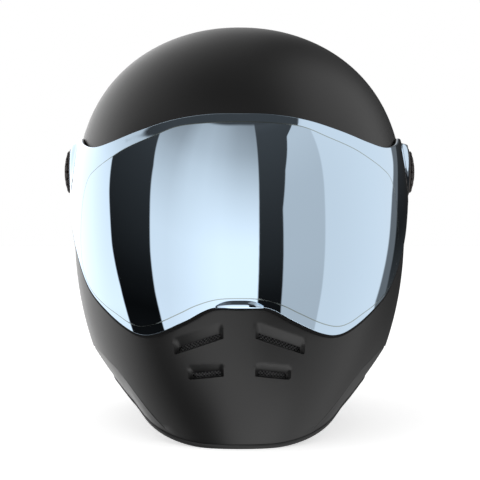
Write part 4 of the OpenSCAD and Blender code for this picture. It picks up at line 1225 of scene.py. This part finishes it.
def newMaterial(name, inputs=None):
    material = bpy.data.materials.new(name)
    material.use_nodes = True
    tree = material.node_tree
    shader = tree.nodes["Principled BSDF"]
    connect(tree, shader, inputs or {})
    return material, tree, shader


def grainGroup():
    # fine moulded grain: a mask and a normal from one noise, with broad patches in the mask
    tree, given, result = newGroup("fineGrain", "ShaderNodeTree", {"Scale": "Float", "Depth": "Float"},
                                   {"Mask": "Float", "Normal": "Vector"})
    where = node(tree, "ShaderNodeTexCoord")["Object"]
    noise = node(tree, "ShaderNodeTexNoise", {"Vector": where, "Scale": given["Scale"], "Detail": 3})[0]
    patches = node(tree, "ShaderNodeTexNoise", {"Vector": where, "Scale": 22, "Detail": 5})[0]
    bump = node(tree, "ShaderNodeBump", {"Distance": 0.0001, "Strength": given["Depth"], "Height": noise})[0]
    connect(tree, result, {"Mask": mixed(tree, 0.5, noise, patches), "Normal": bump})
    return tree


def clothGroup():
    # plain weave of warp and weft with a little slub: a mask and a normal
    tree, given, result = newGroup("wovenCloth", "ShaderNodeTree", {
        "Vector": "Vector", "Threads": "Float", "Depth": "Float"}, {"Mask": "Float", "Normal": "Vector"})
    scaled = node(tree, "ShaderNodeVectorMath", {0: given["Vector"], "Scale": given["Threads"]}, operation="SCALE")[0]
    axes = node(tree, "ShaderNodeSeparateXYZ", {0: scaled})[:2]
    warp, weft = (calc(tree, "ABSOLUTE", calc(tree, "SINE", axis)) for axis in axes)
    slow = [calc(tree, "SINE", calc(tree, "MULTIPLY", axis, 0.5)) for axis in axes]
    over = calc(tree, "GREATER_THAN", calc(tree, "MULTIPLY", *slow), 0.0)
    slub = node(tree, "ShaderNodeTexNoise", {"Vector": scaled, "Scale": 0.35, "Detail": 2})[0]
    mask = calc(tree, "MULTIPLY", mixed(tree, over, warp, weft), calc(tree, "ADD", slub, 0.5))
    bump = node(tree, "ShaderNodeBump", {"Distance": 0.0003, "Strength": given["Depth"], "Height": mask})[0]
    connect(tree, result, {"Mask": mask, "Normal": bump})
    return tree


fineGrain, wovenCloth = grainGroup(), clothGroup()


def byMask(tree, shader, group, dark, light, rough):
    # two tones and a range of roughness by a group's mask, with the group's normal
    run = node(tree, "ShaderNodeMapRange", {"Value": group["Mask"], "To Min": rough[0], "To Max": rough[1]})[0]
    tone = mixed(tree, group["Mask"], (*dark, 1), (*light, 1), colour=True)
    connect(tree, shader, {"Base Color": tone, "Roughness": run, "Normal": group["Normal"]})


def grained(name, dark, light, rough, scale, depth, metallic, specular):
    material, tree, shader = newMaterial(name, {"Metallic": metallic, "Specular IOR Level": specular})
    grain = node(tree, "ShaderNodeGroup", {"Scale": scale, "Depth": depth}, node_tree=fineGrain)
    byMask(tree, shader, grain, dark, light, rough)
    return material


def woven(name, dark, light, rough, count, depth, sheen):
    material, tree, shader = newMaterial(name, {"Sheen Weight": sheen, "Sheen Roughness": 0.5})
    where = node(tree, "ShaderNodeTexCoord")["UV"]
    cloth = node(tree, "ShaderNodeGroup", {"Vector": where, "Threads": count, "Depth": depth}, node_tree=wovenCloth)
    byMask(tree, shader, cloth, dark, light, rough)
    return material


def makeFoam():
    # moulded foam: flat cells pressed against each other
    material, tree, shader = newMaterial("pressedFoam", {"Roughness": foam["roughness"]})
    where = {"Vector": node(tree, "ShaderNodeTexCoord")["Object"], "Scale": foam["cells"]}
    cells = node(tree, "ShaderNodeTexVoronoi", where)["Color"]
    edges = node(tree, "ShaderNodeTexVoronoi", where, feature="DISTANCE_TO_EDGE")["Distance"]
    rim = node(tree, "ShaderNodeMapRange", {"Value": edges, "From Max": foam["rim"]})[0]
    grey = node(tree, "ShaderNodeSeparateColor", {0: cells})[0]
    bump = node(tree, "ShaderNodeBump", {"Strength": 0.5, "Distance": 0.0004, "Height": rim})[0]
    tone = mixed(tree, grey, foam["dark"], foam["light"], colour=True)
    connect(tree, shader, {"Base Color": tone, "Normal": bump})
    return material


def buildShadeTree():
    # merges a frame node's loose triangles and shades its curved faces smoothly
    tree, given, result = geometryGroup("softShade", {})
    merged = node(tree, "GeometryNodeMergeByDistance", {"Geometry": given["Geometry"], "Distance": 0.000005})[0]
    angle = node(tree, "GeometryNodeInputMeshEdgeAngle")["Unsigned Angle"]
    small = node(tree, "FunctionNodeCompare", {0: angle, 1: math.radians(32)}, operation="LESS_THAN")[0]
    faces = node(tree, "GeometryNodeSetShadeSmooth", {"Geometry": merged})[0]
    edges = node(tree, "GeometryNodeSetShadeSmooth", {"Geometry": faces, "Shade Smooth": small}, domain="EDGE")[0]
    connect(tree, result, {0: edges})
    return tree


def dress(piece, material):
    if piece.data.materials:
        piece.data.materials.clear()
    piece.data.materials.append(finish[material])


def place(piece, material, body, node, slot, fill=None):
    dress(piece, material)
    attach(piece, body)
    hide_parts(node)


# Studio: camera, plain light, and the soft boxes that the mirror sees, by direction in degrees
studio = {
    "eye": 1050, "rise": 2, "aim": 128, "focal": 1448.3, "shift": (0.5, -1.0), "worldLight": 0.55,
    "floorSize": 3.0, "floorGrey": 0.9, "floorGlow": 0.62,
    # place, size and power
    "lamps": {"topLight": ((-0.5, -0.7, 1.5), (1.0, 0.8), 2), "leftLight": ((-1.5, -0.1, 0.6), (0.8, 1.2), 5),
              "rightLight": ((1.4, -0.7, 0.7), (0.8, 1.2), 3)},
}
# Brightness of each panel by elevation
panels = {
    "dark": [(-60, 0.01), (-20, 0.008), (-8, 0.004), (2, 0.01), (15, 0.024), (36, 0.041), (63, 0.068), (68, 0.088),
             (90, 0.088)],
    "outerLeft": [(-60, 0.4), (-30, 0.45), (-16, 1.1), (-10, 1.22), (0, 1.16), (11, 1.1), (17, 1.065), (26, 0.97),
                  (35, 0.82), (45, 0.66), (60, 0.4), (75, 0.1)],
    "leftSide": [(-60, 0.7), (-30, 0.8), (-18, 1.2), (-4, 1.62), (20, 1.6), (28, 1.4), (38, 1.05), (48, 0.7),
                 (60, 0.45), (75, 0.15)],
    "leftBack": [(-60, 0.9), (-30, 1.0), (-18, 1.4), (-4, 2.8), (8, 2.8), (16, 2.4), (24, 1.9), (32, 1.35),
                 (40, 0.95), (50, 0.55), (75, 0.15)],
    "front": [(-60, 1.5), (-26, 1.4), (-14, 1.1), (0, 1.065), (9, 1.076), (19, 1.065), (29, 0.99), (38, 0.915),
              (47, 0.805), (55, 0.66), (62, 0.58), (68, 0.52), (90, 0.3)],
    "right": [(-60, 0.56), (0, 0.6), (10, 0.62), (30, 0.632), (38, 0.64), (47, 0.67), (56, 0.705), (65, 0.71),
              (75, 0.7), (90, 0.45)],
    "outerRight": [(-60, 0.9), (0, 0.86), (30, 0.85), (42, 0.86), (55, 0.88), (62, 0.88), (75, 0.3)],
    "rightBack": [(-60, 0.45), (-20, 0.4), (-10, 0.06), (0, 0.016), (20, 0.065), (30, 0.13), (45, 0.065),
                  (65, 0.016)],
    "strip": [(-60, 0.18), (90, 0.18)],
    "behind": [(-60, 0.6), (-10, 1.2), (0, 1.3), (20, 1.1), (40, 0.45), (90, 0.1)],
}
# From left to right: elevation and azimuth of a panel's left border, the panel, and the border's softness
borders = [
    ([(-60, -85), (-15, -92), (-5, -95), (4, -100), (14, -103), (26, -105), (35, -100), (44, -92), (60, -80),
      (90, -75)], "dark", 0.7),
    ([(-60, -20), (-40, -24), (-24, -54), (-13, -59), (-2, -62), (10, -64), (22, -65), (37, -67), (50, -72),
      (63, -66), (90, -60)], "front", 0.7),
    ([(-60, 75), (-40, 68), (-24, 12), (-14, 9), (1, 10), (33, 11), (67, 13), (90, 14)], "dark", 0.6),
    ([(-60, 75), (-40, 68), (-24, 28), (-3, 27), (31, 28), (45, 33), (58, 42), (62, 55), (64, 72), (90, 76)],
     "right", 0.6),
    ([(-60, 80), (-40, 76), (-24, 57), (0, 60), (26, 62), (52, 66), (90, 76)], "outerRight", 0.8),
    ([(-60, 128), (-20, 122), (-10, 117), (-5, 120.5), (0.5, 125), (5.5, 128.5), (8, 132), (10, 134.3), (30, 140),
      (90, 150)], "strip", 1.2),
    ([(-60, 137), (-20, 132), (-10, 127), (-5, 129.5), (0.5, 134.7), (5.5, 138), (8, 141.4), (10, 143.6),
      (30, 150), (90, 160)], "rightBack", 1.2),
]
# By azimuth: what the front panel gains all over, what it loses higher up, and the foot of the dark gap overhead
across = {
    "gain": [(-60, -0.08), (-50, -0.08), (-36, 0), (-22, 0.105), (-10, 0.17), (10, 0.16)],
    "loss": [(-60, 0.15), (-50, 0.12), (-36, 0), (-22, 0.07), (-10, 0.2), (0, 0.3), (10, 0.35)],
    "overhead": [(-180, 84), (-100, 80), (-92, 70), (-84, 62), (-70, 61), (-50, 66), (0, 67.5), (50, 66),
                 (71, 63.5), (76, 78), (180, 84)],
    "overheadLight": 0.065,
}


def makeWorld():
    world = bpy.data.worlds.new("studio")
    bpy.context.scene.world = world
    world.use_nodes = True
    tree = world.node_tree
    tree.nodes.clear()

    def ramp(value, low, high):
        return node(tree, "ShaderNodeMapRange", {"Value": value, "From Min": low, "From Max": high},
                    interpolation_type="SMOOTHSTEP")[0]

    def curve(value, points, low=0.0, high=2.0):
        # result for a direction in degrees, through points of (degrees, result) between low and high
        span = 360 if value is az else 180
        made = tree.nodes.new("ShaderNodeFloatCurve")
        connect(tree, made, {"Value": calc(tree, "MULTIPLY_ADD", value, 1 / span, 0.5)})
        made.mapping.use_clip = False
        made.mapping.extend = "HORIZONTAL"
        line = made.mapping.curves[0]
        while len(line.points) > 2:
            line.points.remove(line.points[1])
        placed = [(p[0] / span + 0.5, (p[1] - low) / (high - low)) for p in points]
        line.points[0].location, line.points[1].location = placed[0], placed[-1]
        for p in placed[1:-1]:
            line.points.new(*p)
        for p in line.points:
            p.handle_type = "VECTOR"
        made.mapping.update()
        return calc(tree, "MULTIPLY_ADD", made.outputs[0], high - low, low)

    x, y, z = node(tree, "ShaderNodeSeparateXYZ", {0: node(tree, "ShaderNodeTexCoord")["Generated"]})
    az = calc(tree, "DEGREES", calc(tree, "ARCTAN2", x, calc(tree, "MULTIPLY", y, -1.0)))
    el = calc(tree, "DEGREES", calc(tree, "ARCSINE", z))
    light = {name: curve(el, points, high=4.0 if name == "leftBack" else 2.0) for name, points in panels.items()}
    fall = calc(tree, "MULTIPLY", curve(az, across["loss"]), ramp(el, 15, 55))
    change = calc(tree, "SUBTRACT", curve(az, across["gain"], -1, 1), fall)
    light["front"] = calc(tree, "ADD", light["front"], change)
    more = calc(tree, "MULTIPLY", ramp(az, 60, 120), 0.09)
    light["outerRight"] = calc(tree, "ADD", light["outerRight"], more)
    level = mixed(tree, ramp(az, -100, -152), light["outerLeft"], light["leftSide"])
    level = mixed(tree, ramp(az, -146, -172), level, light["leftBack"])
    for points, name, soft in borders:
        past = calc(tree, "SUBTRACT", az, curve(el, points, -180, 180))
        level = mixed(tree, ramp(past, -soft, soft), level, light[name])
    # both sides meet softly behind the helmet
    level = mixed(tree, ramp(calc(tree, "ABSOLUTE", az), 169, 180), level, light["behind"])
    above = calc(tree, "SUBTRACT", el, curve(az, across["overhead"], 0, 90))
    level = mixed(tree, ramp(above, -0.8, 0.8), level, across["overheadLight"])
    # the mirror sees the panels, other surfaces plain light, the camera white
    plain, reflected, white = (
        node(tree, "ShaderNodeBackground", {"Color": (1, 1, 1, 1), "Strength": strength})[0]
        for strength in (studio["worldLight"], level, 1))
    ray = node(tree, "ShaderNodeLightPath")
    seen = calc(tree, "MAXIMUM", ray["Is Camera Ray"], ray["Is Transmission Ray"])
    lit = node(tree, "ShaderNodeMixShader", {0: ray["Is Glossy Ray"], 1: plain, 2: reflected})[0]
    node(tree, "ShaderNodeOutputWorld", {"Surface": node(tree, "ShaderNodeMixShader", {0: seen, 1: lit, 2: white})[0]})


def makeFloor():
    size, grey = studio["floorSize"], studio["floorGrey"]
    corners = [(-size, -size, 0), (size, -size, 0), (size, size, 0), (-size, size, 0)]
    floor = newPiece("studioFloor", corners, [(0, 1, 2, 3)])
    finish["paleFloor"], tree, shader = newMaterial("paleFloor", {"Base Color": (grey, grey, grey, 1), "Roughness": 0.9})
    # to the camera the floor is white where the light falls and grey in the shadow
    ray = node(tree, "ShaderNodeLightPath")
    seen = calc(tree, "MAXIMUM", ray["Is Camera Ray"], ray["Is Glossy Ray"])
    glow = node(tree, "ShaderNodeEmission", {"Strength": calc(tree, "MULTIPLY", seen, studio["floorGlow"])})[0]
    both = node(tree, "ShaderNodeAddShader", {0: shader.outputs[0], 1: glow})[0]
    connect(tree, tree.nodes["Material Output"], {"Surface": both})
    dress(floor, "paleFloor")
    floor.visible_glossy = False


def aimed(name, data, spot, target):
    # a lamp or camera at a spot, looking at a target
    made = bpy.data.objects.new(name, data)
    bpy.context.scene.collection.objects.link(made)
    made.location = spot
    made.rotation_mode = "QUATERNION"
    made.rotation_quaternion = (Vector(target) - Vector(spot)).to_track_quat("-Z", "Y")
    return made


def makeStudio():
    makeWorld()
    makeFloor()
    for name, (spot, size, power) in studio["lamps"].items():
        data = bpy.data.lights.new(name, "AREA")
        data.shape, data.energy = "RECTANGLE", power
        data.size, data.size_y = size
        aimed(name, data, spot, (0, 0, 0.15)).visible_glossy = False
    data = bpy.data.cameras.new("photoCamera")
    rise = math.radians(studio["rise"])
    aim = Vector((0, form["axisY"], studio["aim"])) / 1000
    spot = aim + Vector((0, -math.cos(rise), math.sin(rise))) * studio["eye"] / 1000
    bpy.context.scene.camera = aimed("photoCamera", data, spot, aim)
    data.sensor_width = 36
    data.lens = studio["focal"] * 36 / 480
    # the photograph's middle lies half a pixel right of and a pixel below the aim
    data.shift_x, data.shift_y = (pixels / 480 for pixels in studio["shift"])
    bpy.context.scene.view_settings.view_transform = "Standard"


finish = {name: grained(name, *spec) for name, spec in grainedFinishes.items()}
finish.update({name: woven(name, *spec) for name, spec in wovenFinishes.items()})
for name, (colour, metallic, roughness) in smoothFinishes.items():
    finish[name] = newMaterial(name, {"Base Color": (*colour, 1), "Metallic": metallic, "Roughness": roughness})[0]
finish["pressedFoam"] = makeFoam()
stitchTree, weaveTree, softShade = buildStitchTree(), buildWeaveTree(), buildShadeTree()
print("materials:", len(finish))

shellSkin = makeShell()
place(shellSkin, "matteBlackPaint", "shell", "outer_shell", "shell")
print("shell:", len(shellSkin.data.polygons), "faces")

visorMirror = makeVisor()
# the bead under the visor carries painted shade for the gap beneath the visor's edge
for piece, material in ((visorMirror, "mirrorCoat"), (makeTab(), "mirrorCoat"), (makeBead(), "rubberAndGapShade")):
    place(piece, material, "visor", "visor_lens", "visor")
for extra in ("rimLine", "tintedInside"):
    visorMirror.data.materials.append(finish[extra])
print("visor:", len(visorMirror.data.polygons), "faces")

place(makeEdgeTrim(), "softRubber", "shell", "edge_trim", "seal")
place(makePortSeal(), "softRubber", "shell", "port_seal", "seal")
print("rubber done")

for side, tag, word in ((1, "Left", "left"), (-1, "Right", "right")):
    collar, ring = (lathe(name + tag, dish[part], onPivot(side), segments)
                    for name, part, segments in (("earCollar", "collar", 96), ("earRing", "ring", 128)))
    place(collar, "hardPlastic", "visor", "visor_bushing_" + word, "hard_plastic")
    place(ring, "knobPlastic", "visor", "visor_bushing_" + word, "hard_plastic")
    place(makeKnob(side, tag), "knobPlastic", "screw_" + word, "knob_" + word, "knob")
    place(makeRivet(side, tag), "blackenedSteel", "shell", "anchor_rivet_" + word, "steel")
    for level in ("upper", "lower"):
        made = makeVentMesh(vents[level], side, level + "Mesh" + tag)
        place(made, "meshWire", "shell", "vent_mesh_" + level + "_" + word, "mesh")
print("pivots and vents done")

for kind, name, target, side, fill in (
        ("cheek", "cheekPadLeft", "cheek_pad_left", 1, 0.7), ("cheek", "cheekPadRight", "cheek_pad_right", -1, 0.7),
        ("neck", "neckRoll", "neck_roll", 1, 0.7), ("brow", "browPad", "brow_pad", 1, 0.6),
        (None, "crownQuilt", "crown_pad", 1, 0.5)):
    pad = makePad(kind, name, side) if kind else makeCrownPad()
    stitchName = name.replace("Pad", "Stitches") if kind == "cheek" else name + "Stitches"
    stitched(stitchName, padSeam(pad, kind, side) if kind else crownSeams(pad), "pad", "shell", target, "padding")
    place(pad, "padCloth", "shell", target, "padding", fill)
print("pads done")

back, face, fold = strap["backX"] - strap["face"], strap["face"], strap["foldX"] - strap["face"]
shortLines = [line for box in strap["shortBoxes"] for x in (back, face) for line in boxStitch(1, x, *box)]
longLines = [line for x, box in zip((face, fold), strap["longBoxes"]) for line in boxStitch(-1, x, *box)]
for name, side, path, lines in (("short", 1, shortPath(), shortLines), ("long", -1, longPath(), longLines)):
    body, target = name + "_strap", "strap_" + name
    place(webbing(name + "Strap", side, path), "webCloth", body, target, "webbing")
    stitched(name + "Stitches", lines, "strap", body, target, "webbing")
place(makeSnap(), "blackenedSteel", "long_strap", "strap_snap", "hard_plastic")
print("straps done")

nodeFinish = {
    "pressedFoam": ["eps_liner", "chin_liner", "cheek_block_left", "cheek_block_right"],
    "hardPlastic": ["pivot_plate_left", "pivot_plate_right"],
    "brassInsert": ["pivot_insert_left", "pivot_insert_right"],
    "brushedSteel": ["plate_screws", "knob_washer_left", "knob_washer_right", "anchor_plate_left",
                     "anchor_plate_right", "d_ring_inner", "d_ring_outer"],
}
for material, names in nodeFinish.items():
    for name in names:
        dress(nodes[name], material)
        nodes[name].modifiers.new("softShade", "NODES").node_group = softShade

makeStudio()
